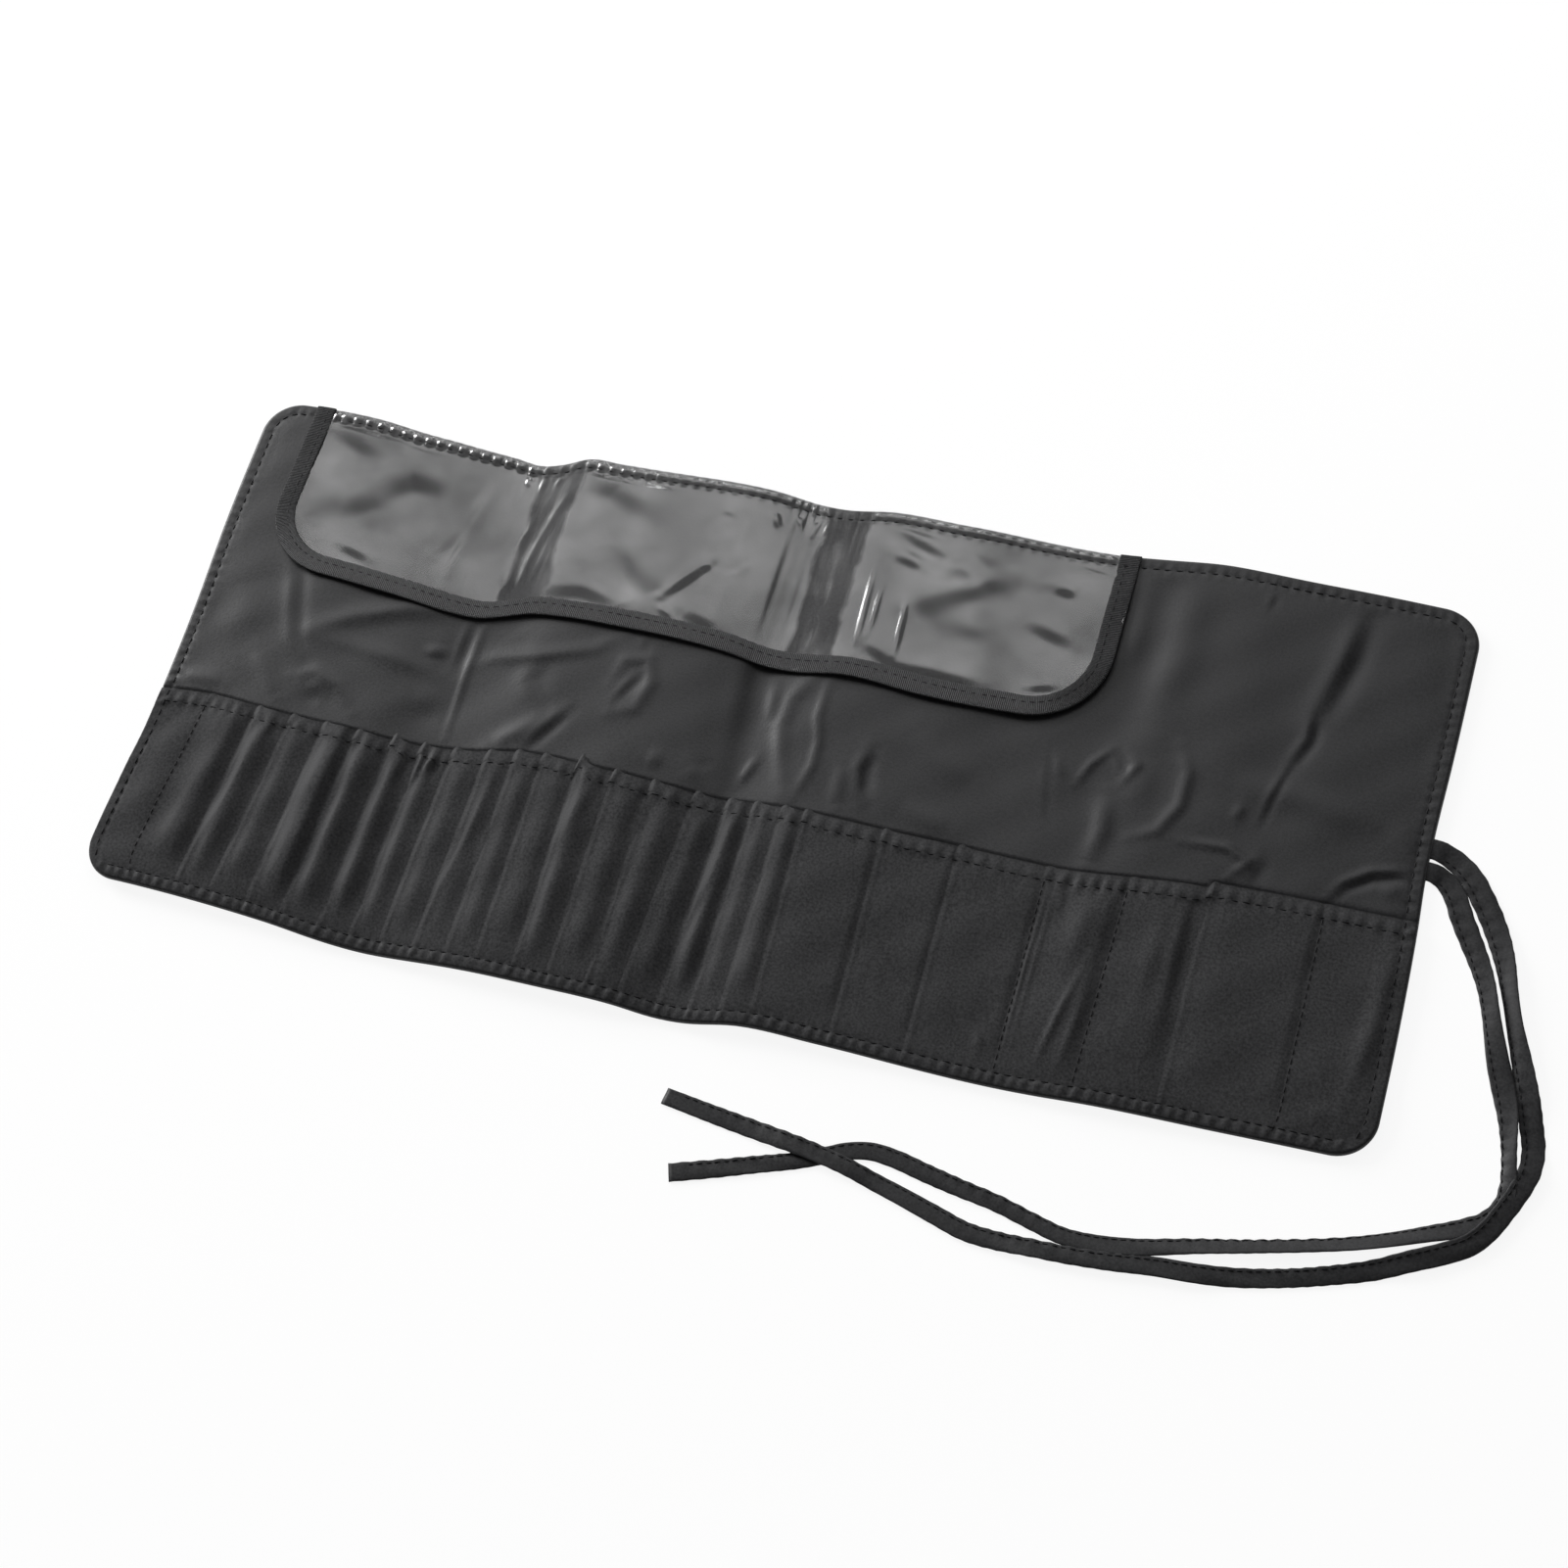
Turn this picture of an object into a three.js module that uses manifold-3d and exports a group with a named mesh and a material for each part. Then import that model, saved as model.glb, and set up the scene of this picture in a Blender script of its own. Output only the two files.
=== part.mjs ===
// Roll-up brush case, lying open: a sewn panel of cover, interlining and lining, a pleated
// pocket panel, a clear flap with a woven binding, and two tie tapes.
// Millimetres. +X runs along the case towards the ties, +Y towards the flap edge, +Z up.
import * as THREE from 'three';
import { mergeVertices } from 'three/addons/utils/BufferGeometryUtils.js';
import Module from 'manifold-3d';

const wasm = await Module();
wasm.setup();

// Case length, the plain strips at its ends and the brush slots between them, from left to right.
const CASE_LENGTH = 500;
const LEFT_STRIP = 22;
const RIGHT_STRIP = 34.4;
const FIRST_SLOT = 21.7;
const PENCIL_SLOT = 14.8;
const LINER_SLOT = 12.6;
const SHADOW_SLOT = 14.6;
const FINE_SLOT = 11;
const POWDER_SLOT = 30.4;
const LAST_SLOT = 41.7;
const SLOT_GROUPS = [
  { count: 1, width: FIRST_SLOT },
  { count: 4, width: PENCIL_SLOT },
  { count: 5, width: LINER_SLOT },
  { count: 5, width: SHADOW_SLOT },
  { count: 3, width: FINE_SLOT },
  { count: 5, width: POWDER_SLOT },
  { count: 1, width: LAST_SLOT },
];

// Sewn panel.
const CASE_DEPTH = 222;
const CORNER_RADIUS = 15;
const COVER_THICKNESS = 1;
const INTERLINING_THICKNESS = 1;
const LINING_THICKNESS = 1;
const SEAM_WIDTH = 6;
const INTERLINING_CLEARANCE = 0.5;

// Pocket panel: depth at each end, clear height inside a slot, cloth, hem and bottom taper.
const POCKET_DEPTH_LEFT = 84;
const POCKET_DEPTH_RIGHT = 94;
const POCKET_CLEAR_HEIGHT = 5.4;
const POCKET_CLOTH = 0.7;
const POCKET_EDGE_SETBACK = 0.6;
const POCKET_BOTTOM_RUN = 14;
const HEM_WIDTH = 6.5;
const HEM_STEP = 0.4;
const SHOULDER_SHARE = 0.35;
const SHOULDER_MAX = 8;

// Clear flap, its binding and its sewn rim.
const FLAP_INSET = 19;
const FLAP_WIDTH = 349;
const FLAP_DEPTH = 76.5;
const FLAP_CORNER_RADIUS = 30;
const FLAP_SHEET = 0.5;
const FLAP_SEAT = 0.6;
const FLAP_ROOT_GAP = 0.3;
const FLAP_FLAT_RUN = 7;
const FLAP_RISE_RUN = 14;
const FLAP_LIFT = 4.6;
const BINDING_WIDTH = 8.8;
const BINDING_LEAF = 0.35;
const BINDING_CLEARANCE = 0.1;

// Roll-up: the dividers where the panel bends, counted from the left, and the cut between segments.
const FOLD_DIVIDERS = [2, 5, 9, 14, 20, 23];
const FOLD_CUT = 0.4;
const FOLD_AXIS_ABOVE_BINDING = 0.05;

// Tie tapes. The length is the longer one's, from the case edge to its cut end.
const TIE_LENGTH = 460;
const TIE_WIDTH = 7;
const TIE_THICKNESS = 0.8;
const TIE_FLOOR_GAP = 0.1;
const TIE_CROSSING_LIFT = 1.1;
const TIE_SEWN_LENGTH = 5.4;
const TIE_STEPS = 90;

// Derived sizes.
const slotShares = SLOT_GROUPS.flatMap((group) => Array(group.count).fill(group.width));
const slotRun = slotShares.reduce((sum, width) => sum + width, 0);
const slotFit = (CASE_LENGTH - LEFT_STRIP - RIGHT_STRIP) / slotRun;
const slotWidths = slotShares.map((width) => width * slotFit);
const left = -CASE_LENGTH / 2;
const right = CASE_LENGTH / 2;
const bottom = -CASE_DEPTH / 2;
const top = CASE_DEPTH / 2;
const dividers = [left + LEFT_STRIP];
for (const width of slotWidths) dividers.push(dividers.at(-1) + width);
const folds = FOLD_DIVIDERS.map((number) => dividers[number - 1]);
const segmentEdges = [left, ...folds, right];

const interliningBase = COVER_THICKNESS;
const liningBase = interliningBase + INTERLINING_THICKNESS;
const liningTop = liningBase + LINING_THICKNESS;

const flapLeft = left + FLAP_INSET;
const flapRight = flapLeft + FLAP_WIDTH;
const flapBottom = top - FLAP_DEPTH;
const flapHingeY = top - SEAM_WIDTH;
const flapHingeZ = liningTop + FLAP_SEAT + FLAP_SHEET;
const bindingReach = BINDING_CLEARANCE + BINDING_LEAF;
const foldAxisZ = flapHingeZ + FLAP_LIFT + bindingReach + FOLD_AXIS_ABOVE_BINDING;

// Cloth, vinyl and tape colours.
const coverCloth = new THREE.MeshStandardMaterial({ color: 0x2a2a2c, roughness: 0.62, metalness: 0 });
const liningCloth = new THREE.MeshStandardMaterial({ color: 0x303033, roughness: 0.55, metalness: 0 });
const pocketCloth = new THREE.MeshStandardMaterial({ color: 0x343437, roughness: 0.5, metalness: 0 });
const interliningFelt = new THREE.MeshStandardMaterial({ color: 0x5a5a5a, roughness: 0.95, metalness: 0 });
const bindingTape = new THREE.MeshStandardMaterial({ color: 0x444447, roughness: 0.75, metalness: 0 });
const tieTape = new THREE.MeshStandardMaterial({ color: 0x2c2c2e, roughness: 0.65, metalness: 0 });
const clearVinyl = new THREE.MeshStandardMaterial({
  color: 0xd8dcde,
  roughness: 0.12,
  metalness: 0,
  transparent: true,
  opacity: 0.3,
});

// Closed geometry to solid, and back.
function solidFrom(geometry) {
  geometry.deleteAttribute('normal');
  geometry.deleteAttribute('uv');
  const merged = mergeVertices(geometry, 1e-4);
  return new wasm.Manifold(new wasm.Mesh({
    numProp: 3,
    vertProperties: merged.attributes.position.array,
    triVerts: Uint32Array.from(merged.index.array),
  }));
}

function geometryFrom(solid) {
  const mesh = solid.getMesh();
  const geometry = new THREE.BufferGeometry();
  geometry.setAttribute('position', new THREE.BufferAttribute(new Float32Array(mesh.vertProperties), 3));
  geometry.setIndex(Array.from(mesh.triVerts));
  geometry.computeVertexNormals();
  return geometry;
}

// Outline with a radius at the two lower and the two upper corners; zero leaves them square.
function outline(x0, x1, y0, y1, lowerRadius, upperRadius) {
  const shape = new THREE.Shape();
  shape.moveTo(x0 + lowerRadius, y0);
  shape.lineTo(x1 - lowerRadius, y0);
  if (lowerRadius > 0) shape.absarc(x1 - lowerRadius, y0 + lowerRadius, lowerRadius, -Math.PI / 2, 0);
  shape.lineTo(x1, y1 - upperRadius);
  if (upperRadius > 0) shape.absarc(x1 - upperRadius, y1 - upperRadius, upperRadius, 0, Math.PI / 2);
  shape.lineTo(x0 + upperRadius, y1);
  if (upperRadius > 0) shape.absarc(x0 + upperRadius, y1 - upperRadius, upperRadius, Math.PI / 2, Math.PI);
  shape.lineTo(x0, y0 + lowerRadius);
  if (lowerRadius > 0) shape.absarc(x0 + lowerRadius, y0 + lowerRadius, lowerRadius, Math.PI, 1.5 * Math.PI);
  return shape;
}

function plate(shape, z0, z1) {
  const geometry = new THREE.ExtrudeGeometry(shape, { depth: z1 - z0, bevelEnabled: false, curveSegments: 8 });
  geometry.translate(0, 0, z0);
  return solidFrom(geometry);
}

function block(x0, x1, y0, y1, z0, z1) {
  const geometry = new THREE.BoxGeometry(x1 - x0, y1 - y0, z1 - z0);
  geometry.translate((x0 + x1) / 2, (y0 + y1) / 2, (z0 + z1) / 2);
  return solidFrom(geometry);
}

// Side profile, drawn as (y, z), run along X.
function alongX(points, x0, x1) {
  const shape = new THREE.Shape(points.map(([y, z]) => new THREE.Vector2(y, z)));
  const geometry = new THREE.ExtrudeGeometry(shape, { depth: x1 - x0, bevelEnabled: false });
  const axes = new THREE.Matrix4().makeBasis(
    new THREE.Vector3(0, 1, 0),
    new THREE.Vector3(0, 0, 1),
    new THREE.Vector3(1, 0, 0),
  );
  geometry.applyMatrix4(axes);
  geometry.translate(x0, 0, 0);
  return solidFrom(geometry);
}

// Cloth with a lower and an upper face, each given as a point for a step along and a step across.
function clothSolid(along, across, lower, upper) {
  const positions = [];
  const faces = [];
  const index = (side, i, j) => (side * (along + 1) + i) * (across + 1) + j;
  for (const face of [lower, upper]) {
    for (let i = 0; i <= along; i += 1) {
      for (let j = 0; j <= across; j += 1) positions.push(...face(i, j));
    }
  }
  const quad = (a, b, c, d) => faces.push(a, b, c, a, c, d);
  for (let i = 0; i < along; i += 1) {
    for (let j = 0; j < across; j += 1) {
      quad(index(1, i, j), index(1, i + 1, j), index(1, i + 1, j + 1), index(1, i, j + 1));
      quad(index(0, i, j), index(0, i, j + 1), index(0, i + 1, j + 1), index(0, i + 1, j));
    }
    quad(index(0, i, 0), index(0, i + 1, 0), index(1, i + 1, 0), index(1, i, 0));
    quad(index(0, i + 1, across), index(0, i, across), index(1, i, across), index(1, i + 1, across));
  }
  for (let j = 0; j < across; j += 1) {
    quad(index(0, 0, j + 1), index(0, 0, j), index(1, 0, j), index(1, 0, j + 1));
    quad(index(0, along, j), index(0, along, j + 1), index(1, along, j + 1), index(1, along, j));
  }
  const geometry = new THREE.BufferGeometry();
  geometry.setAttribute('position', new THREE.Float32BufferAttribute(positions, 3));
  geometry.setIndex(faces);
  return solidFrom(geometry);
}

// The part of a whole piece that lies between two neighbouring fold lines.
function segmentOf(solid, number) {
  const x0 = number === 0 ? left - 1 : segmentEdges[number] + FOLD_CUT / 2;
  const x1 = number === segmentEdges.length - 2 ? right + 1 : segmentEdges[number + 1] - FOLD_CUT / 2;
  return solid.intersect(block(x0, x1, bottom - 1, top + 1, -1, foldAxisZ + 5));
}

const smooth = (share) => share * share * (3 - 2 * share);

// Tie routes: x from the right edge, y, and whether the tape lies on the floor (0) or over the other (1).
const UPPER_TIE_ROUTE = [
  [6, 10.3, 0], [13, 5.2, 0], [20, -4, 0], [26.4, -15, 0], [31.2, -26, 0], [35, -38, 0],
  [38.8, -50, 0], [42.8, -61, 0], [46.6, -72, 0], [50, -83, 0], [52.6, -93, 0], [52.6, -101, 1],
  [49.6, -111, 1], [46.5, -118, 1], [43, -125, 1], [38, -131.5, 1], [30, -136.8, 1], [20, -142, 1],
  [8, -148, 0], [-5, -153, 0], [-20, -157.8, 0], [-36, -161.6, 0], [-50, -163.8, 1], [-65, -165, 1],
  [-80, -167, 1], [-95, -168.2, 1], [-105, -168.6, 1], [-119, -168.8, 0], [-131, -168, 0], [-142, -165, 0],
  [-155, -161.3, 0], [-166, -158.4, 0], [-176, -155.8, 1], [-190, -153, 1], [-202, -151.3, 1], [-214, -149.6, 0],
  [-232, -147.3, 0], [-249, -145, 0],
];
const LOWER_TIE_ROUTE = [
  [5, 1, 0], [9.5, -4, 0], [13.5, -12, 0], [18, -20, 0], [22.7, -28.5, 0], [26.6, -37, 0],
  [29.6, -46, 0], [32.4, -55, 0], [35.4, -64, 0], [38.8, -73, 0], [41.8, -82, 0], [44, -92, 0],
  [45.5, -101, 0], [46.5, -108, 0], [46, -115, 0], [42, -121.5, 0], [34, -126.5, 0], [24, -131, 0],
  [12, -136, 0], [-1, -141, 0], [-15, -145, 0], [-30, -149, 0], [-45, -152.7, 0], [-60, -156.5, 0],
  [-72, -159.5, 0], [-85, -161.5, 0], [-98, -161.5, 0], [-108, -159.2, 0], [-122, -155.6, 0], [-136, -153.3, 0],
  [-150, -150.6, 0], [-162, -148.2, 0], [-170, -147.6, 0], [-178, -149.3, 0], [-186, -153, 0], [-195, -157, 0],
  [-206, -161, 0], [-222, -166.7, 0], [-239, -172.5, 0],
];
const UPPER_TIE_EXIT = 12;
const LOWER_TIE_EXIT = 2.8;

// Panel: the cover is a tray whose rim is the turned seam allowance, filled by the interlining
// and closed by the lining.
const panelOutline = outline(left, right, bottom, top, CORNER_RADIUS, CORNER_RADIUS);
const seamRadius = Math.max(CORNER_RADIUS - SEAM_WIDTH, 1);
const trayOutline = outline(
  left + SEAM_WIDTH,
  right - SEAM_WIDTH,
  bottom + SEAM_WIDTH,
  top - SEAM_WIDTH,
  seamRadius,
  seamRadius,
);
const feltInset = SEAM_WIDTH + INTERLINING_CLEARANCE;
const feltOutline = outline(
  left + feltInset,
  right - feltInset,
  bottom + feltInset,
  top - feltInset,
  seamRadius,
  seamRadius,
);

// The tape ends lie in two slots through the rim, under the lining.
const tieSlotHalf = TIE_WIDTH / 2 + INTERLINING_CLEARANCE;
const tieSlots = [UPPER_TIE_EXIT, LOWER_TIE_EXIT].map((y) => block(
  right - SEAM_WIDTH - 1,
  right + 1,
  y - tieSlotHalf,
  y + tieSlotHalf,
  interliningBase,
  liningBase + 1,
));

const cover = plate(panelOutline, 0, liningBase)
  .subtract(plate(trayOutline, interliningBase, liningBase + 1))
  .subtract(tieSlots[0])
  .subtract(tieSlots[1]);
const interlining = plate(feltOutline, interliningBase, liningBase);
const lining = plate(panelOutline, liningBase, liningTop);

// Pocket panel: one cloth that lies flat on the lining along every divider seam, stands off it
// between them, and closes down to the bottom seam. The mouth edge is hemmed double.
const columns = [];
function addColumn(x, height, slope) {
  columns.push({ x, height, slope });
}
addColumn(left + POCKET_EDGE_SETBACK, 0, 0);
slotWidths.forEach((width, slot) => {
  const shoulder = Math.min(SHOULDER_SHARE * width, SHOULDER_MAX);
  const start = dividers[slot];
  const steps = [0, 1 / 3, 2 / 3, 1];
  for (const share of steps) {
    addColumn(start + share * shoulder, smooth(share), 6 * share * (1 - share) / shoulder);
  }
  for (const share of steps.slice(1).reverse()) {
    addColumn(start + width - share * shoulder, smooth(share), 6 * share * (1 - share) / shoulder);
  }
});
addColumn(dividers.at(-1), 0, 0);
addColumn(right - POCKET_EDGE_SETBACK, 0, 0);

const pocketBottom = bottom + POCKET_EDGE_SETBACK;
const pocketSeam = bottom + SEAM_WIDTH;
function mouthAt(x) {
  const share = (x - left) / CASE_LENGTH;
  return bottom + POCKET_DEPTH_LEFT + share * (POCKET_DEPTH_RIGHT - POCKET_DEPTH_LEFT);
}
const rows = [
  { y: () => pocketBottom, open: 0, layers: 1 },
  { y: () => pocketSeam, open: 0, layers: 1 },
  { y: () => pocketSeam + POCKET_BOTTOM_RUN / 3, open: smooth(1 / 3), layers: 1 },
  { y: () => pocketSeam + POCKET_BOTTOM_RUN * 2 / 3, open: smooth(2 / 3), layers: 1 },
  { y: () => pocketSeam + POCKET_BOTTOM_RUN, open: 1, layers: 1 },
  { y: (x) => mouthAt(x) - HEM_WIDTH, open: 1, layers: 1 },
  { y: (x) => mouthAt(x) - HEM_WIDTH + HEM_STEP, open: 1, layers: 2 },
  { y: (x) => mouthAt(x), open: 1, layers: 2 },
];
function pocketPoint(column, row, outer) {
  const { x, height, slope } = columns[column];
  const { y, open, layers } = rows[row];
  const steepness = slope * open * POCKET_CLEAR_HEIGHT;
  const cloth = outer ? layers * POCKET_CLOTH * Math.hypot(1, steepness) : 0;
  return [x, y(x), liningTop + height * open * POCKET_CLEAR_HEIGHT + cloth];
}
const pocketOutline = outline(
  left + POCKET_EDGE_SETBACK,
  right - POCKET_EDGE_SETBACK,
  pocketBottom,
  top,
  CORNER_RADIUS - POCKET_EDGE_SETBACK,
  0,
);
const pockets = clothSolid(
  columns.length - 1,
  rows.length - 1,
  (i, j) => pocketPoint(i, j, false),
  (i, j) => pocketPoint(i, j, true),
).intersect(plate(pocketOutline, -1, foldAxisZ + 5));

// Flap: a bent sheet that lies low at its seam and stands off the lining towards its free edge.
function flapUnderside(y) {
  const run = flapHingeY - y - FLAP_FLAT_RUN;
  const share = Math.min(Math.max(run / FLAP_RISE_RUN, 0), 1);
  return liningTop + FLAP_SEAT + smooth(share) * FLAP_LIFT;
}
const riseStart = flapHingeY - FLAP_FLAT_RUN;
const flapStations = [flapHingeY - FLAP_ROOT_GAP, riseStart];
for (let step = 1; step <= 6; step += 1) flapStations.push(riseStart - FLAP_RISE_RUN * step / 6);
flapStations.push(flapBottom - 1);
function bentSheet(below, above) {
  const lower = flapStations.map((y) => [y, flapUnderside(y) - below]);
  const upper = flapStations.map((y) => [y, flapUnderside(y) + FLAP_SHEET + above]);
  return alongX([...lower, ...upper.reverse()], flapLeft - 1, flapRight + 1);
}
function flapPrism(inset) {
  const radius = FLAP_CORNER_RADIUS - inset;
  const shape = outline(flapLeft + inset, flapRight - inset, flapBottom + inset, top + 5, radius, 0);
  return plate(shape, -1, foldAxisZ + 5);
}
const sheetInset = BINDING_LEAF + BINDING_CLEARANCE;
const flapSheet = bentSheet(0, 0).intersect(flapPrism(sheetInset));
const bindingGroove = bentSheet(BINDING_CLEARANCE, BINDING_CLEARANCE).intersect(flapPrism(BINDING_LEAF));
const binding = bentSheet(bindingReach, bindingReach)
  .intersect(flapPrism(0).subtract(flapPrism(BINDING_WIDTH)))
  .subtract(bindingGroove);
const flapRim = block(flapLeft, flapRight, flapHingeY, top, liningTop, liningTop + FLAP_SHEET);

// Tie: a flat tape from its sewn end in the rim, down to the floor and along its route.
function tieCurve(exitY, route, scale) {
  const sewnZ = interliningBase + (INTERLINING_THICKNESS - TIE_THICKNESS) / 2;
  const points = [
    new THREE.Vector3(right - TIE_SEWN_LENGTH, exitY, sewnZ),
    new THREE.Vector3(right + BINDING_LEAF, exitY, sewnZ),
  ];
  for (const [x, y, over] of route) {
    points.push(new THREE.Vector3(right + x * scale, y * scale, TIE_FLOOR_GAP + over * TIE_CROSSING_LIFT));
  }
  return new THREE.CatmullRomCurve3(points, false, 'centripetal');
}
const routeScale = TIE_LENGTH / (tieCurve(UPPER_TIE_EXIT, UPPER_TIE_ROUTE, 1).getLength() - TIE_SEWN_LENGTH);

function tieTapeSolid(exitY, route) {
  const curve = tieCurve(exitY, route, routeScale);
  const stations = curve.getSpacedPoints(TIE_STEPS);
  const sides = stations.map((point, i) => {
    const ahead = stations[Math.min(i + 1, TIE_STEPS)];
    const behind = stations[Math.max(i - 1, 0)];
    const run = new THREE.Vector2(ahead.x - behind.x, ahead.y - behind.y).normalize();
    return new THREE.Vector2(-run.y, run.x).multiplyScalar(TIE_WIDTH / 2);
  });
  const place = (i, j, lift) => {
    const side = j === 0 ? -1 : 1;
    const z = Math.max(stations[i].z, TIE_FLOOR_GAP);
    return [stations[i].x - side * sides[i].x, stations[i].y - side * sides[i].y, z + lift];
  };
  return clothSolid(TIE_STEPS, 1, (i, j) => place(i, 1 - j, 0), (i, j) => place(i, 1 - j, TIE_THICKNESS));
}

// Assembly: each segment's group turns on the fold line to its right, and each flap group on the
// flap's seam line, so the whole case rolls up from its left end.
const brushCase = new THREE.Group();
const lastSegment = segmentEdges.length - 2;

function addPiece(group, origin, name, solid, material) {
  const geometry = geometryFrom(solid);
  geometry.translate(-origin.x, -origin.y, -origin.z);
  const mesh = new THREE.Mesh(geometry, material);
  mesh.name = name;
  group.add(mesh);
}

let parentGroup = brushCase;
let parentOrigin = new THREE.Vector3();
for (let number = lastSegment; number >= 0; number -= 1) {
  const label = number + 1;
  const origin = number === lastSegment
    ? new THREE.Vector3()
    : new THREE.Vector3(segmentEdges[number + 1], 0, foldAxisZ);
  const segmentGroup = new THREE.Group();
  segmentGroup.position.copy(origin).sub(parentOrigin);
  parentGroup.add(segmentGroup);
  addPiece(segmentGroup, origin, `cover_${label}`, segmentOf(cover, number), coverCloth);
  addPiece(segmentGroup, origin, `interlining_${label}`, segmentOf(interlining, number), interliningFelt);
  addPiece(segmentGroup, origin, `lining_${label}`, segmentOf(lining, number), liningCloth);
  addPiece(segmentGroup, origin, `pockets_${label}`, segmentOf(pockets, number), pocketCloth);
  if (segmentEdges[number] < flapRight) {
    addPiece(segmentGroup, origin, `flap_rim_${label}`, segmentOf(flapRim, number), clearVinyl);
    const flapOrigin = new THREE.Vector3(segmentEdges[number], flapHingeY, flapHingeZ);
    const flapGroup = new THREE.Group();
    flapGroup.position.copy(flapOrigin).sub(origin);
    segmentGroup.add(flapGroup);
    addPiece(flapGroup, flapOrigin, `flap_sheet_${label}`, segmentOf(flapSheet, number), clearVinyl);
    addPiece(flapGroup, flapOrigin, `flap_binding_${label}`, segmentOf(binding, number), bindingTape);
  }
  if (number === lastSegment) {
    addPiece(segmentGroup, origin, 'tie_upper', tieTapeSolid(UPPER_TIE_EXIT, UPPER_TIE_ROUTE), tieTape);
    addPiece(segmentGroup, origin, 'tie_lower', tieTapeSolid(LOWER_TIE_EXIT, LOWER_TIE_ROUTE), tieTape);
  }
  parentGroup = segmentGroup;
  parentOrigin = origin;
}

export default brushCase;
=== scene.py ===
import math

import bmesh
import bpy
import numpy as np
from mathutils import Matrix, Vector


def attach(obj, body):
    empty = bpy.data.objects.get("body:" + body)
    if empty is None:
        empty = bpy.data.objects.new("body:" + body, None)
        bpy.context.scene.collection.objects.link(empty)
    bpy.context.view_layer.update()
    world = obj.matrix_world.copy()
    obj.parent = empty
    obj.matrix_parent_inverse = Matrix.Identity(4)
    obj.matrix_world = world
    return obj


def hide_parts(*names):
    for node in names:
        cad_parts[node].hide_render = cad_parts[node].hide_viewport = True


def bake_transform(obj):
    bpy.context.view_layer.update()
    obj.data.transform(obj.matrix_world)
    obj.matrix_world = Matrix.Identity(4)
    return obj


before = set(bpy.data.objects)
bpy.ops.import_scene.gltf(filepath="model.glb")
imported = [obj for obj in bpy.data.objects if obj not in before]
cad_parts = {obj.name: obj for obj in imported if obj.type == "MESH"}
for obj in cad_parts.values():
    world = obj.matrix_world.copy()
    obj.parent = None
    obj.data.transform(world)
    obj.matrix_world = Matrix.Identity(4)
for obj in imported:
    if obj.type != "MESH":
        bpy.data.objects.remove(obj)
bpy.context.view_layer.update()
bpy.context.scene.view_settings.view_transform = "Standard"


# Studio: the open case lies on a white paper sweep and is seen from above its lower right side.
# A window lights it from the left. A softbox, its rim and its glow mirror in the clear flap, and
# a low lamp behind brings out the flap's sewn edge.
class Shade:
    """One socket of a finish; arithmetic on it adds Math nodes."""

    def __init__(self, finish, socket):
        self.finish, self.socket = finish, socket

    def math(self, operation, first, second=0.0):
        return self.finish.node("Math", {"operation": operation}, {0: first, 1: second})

    def __add__(self, other):
        return self.math("ADD", self, other)

    def __sub__(self, other):
        return self.math("SUBTRACT", self, other)

    def __mul__(self, other):
        return self.math("MULTIPLY", self, other)

    def __rsub__(self, other):
        return self.math("SUBTRACT", other, self)

    __radd__, __rmul__ = __add__, __mul__


class Finish:
    """A procedural material; node() adds any shader node with its settings and sockets."""

    def __init__(self, name):
        self.material = bpy.data.materials.new(name)
        self.material.use_nodes = True
        self.tree = self.material.node_tree
        self.tree.nodes.clear()

    def node(self, kind, settings=None, sockets=None, output=0):
        node = self.tree.nodes.new("ShaderNode" + kind)
        for name, value in (settings or {}).items():
            setattr(node, name, value)
        for name, value in (sockets or {}).items():
            if isinstance(value, Shade):
                self.tree.links.new(value.socket, node.inputs[name])
            else:
                node.inputs[name].default_value = value
        return Shade(self, node.outputs[output])

    def blend(self, share, low, high):
        """A colour between low and high."""
        mixed = {"data_type": "RGBA"}
        return self.node("Mix", mixed, {0: share, 6: (*low, 1), 7: (*high, 1)}, 2)

    def noise(self, scale, detail, stretch=(1, 1, 1)):
        """Cloudy values round 0.5, at so many clouds a metre."""
        where = self.node("TexCoord", output="Object")
        laid = self.node("Mapping", None, {"Vector": where, "Scale": stretch})
        return self.node("TexNoise", None, {"Vector": laid, "Scale": scale, "Detail": detail})

    def surface(self, shader):
        output = self.tree.nodes.new("ShaderNodeOutputMaterial")
        self.tree.links.new(shader.socket, output.inputs["Surface"])
        return self.material


camera_data = bpy.data.cameras.new("camera")
camera_data.sensor_width = 36
camera_data.lens = 65.27
camera = bpy.data.objects.new("camera", camera_data)
bpy.context.collection.objects.link(camera)
camera.matrix_world = Matrix((
    (0.952967, -0.195985, 0.231180, 0.258118),
    (0.276614, 0.874148, -0.399188, -0.445384),
    (-0.123850, 0.444360, 0.887246, 0.959200),
    (0, 0, 0, 1),
))
bpy.context.scene.camera = camera

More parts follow.
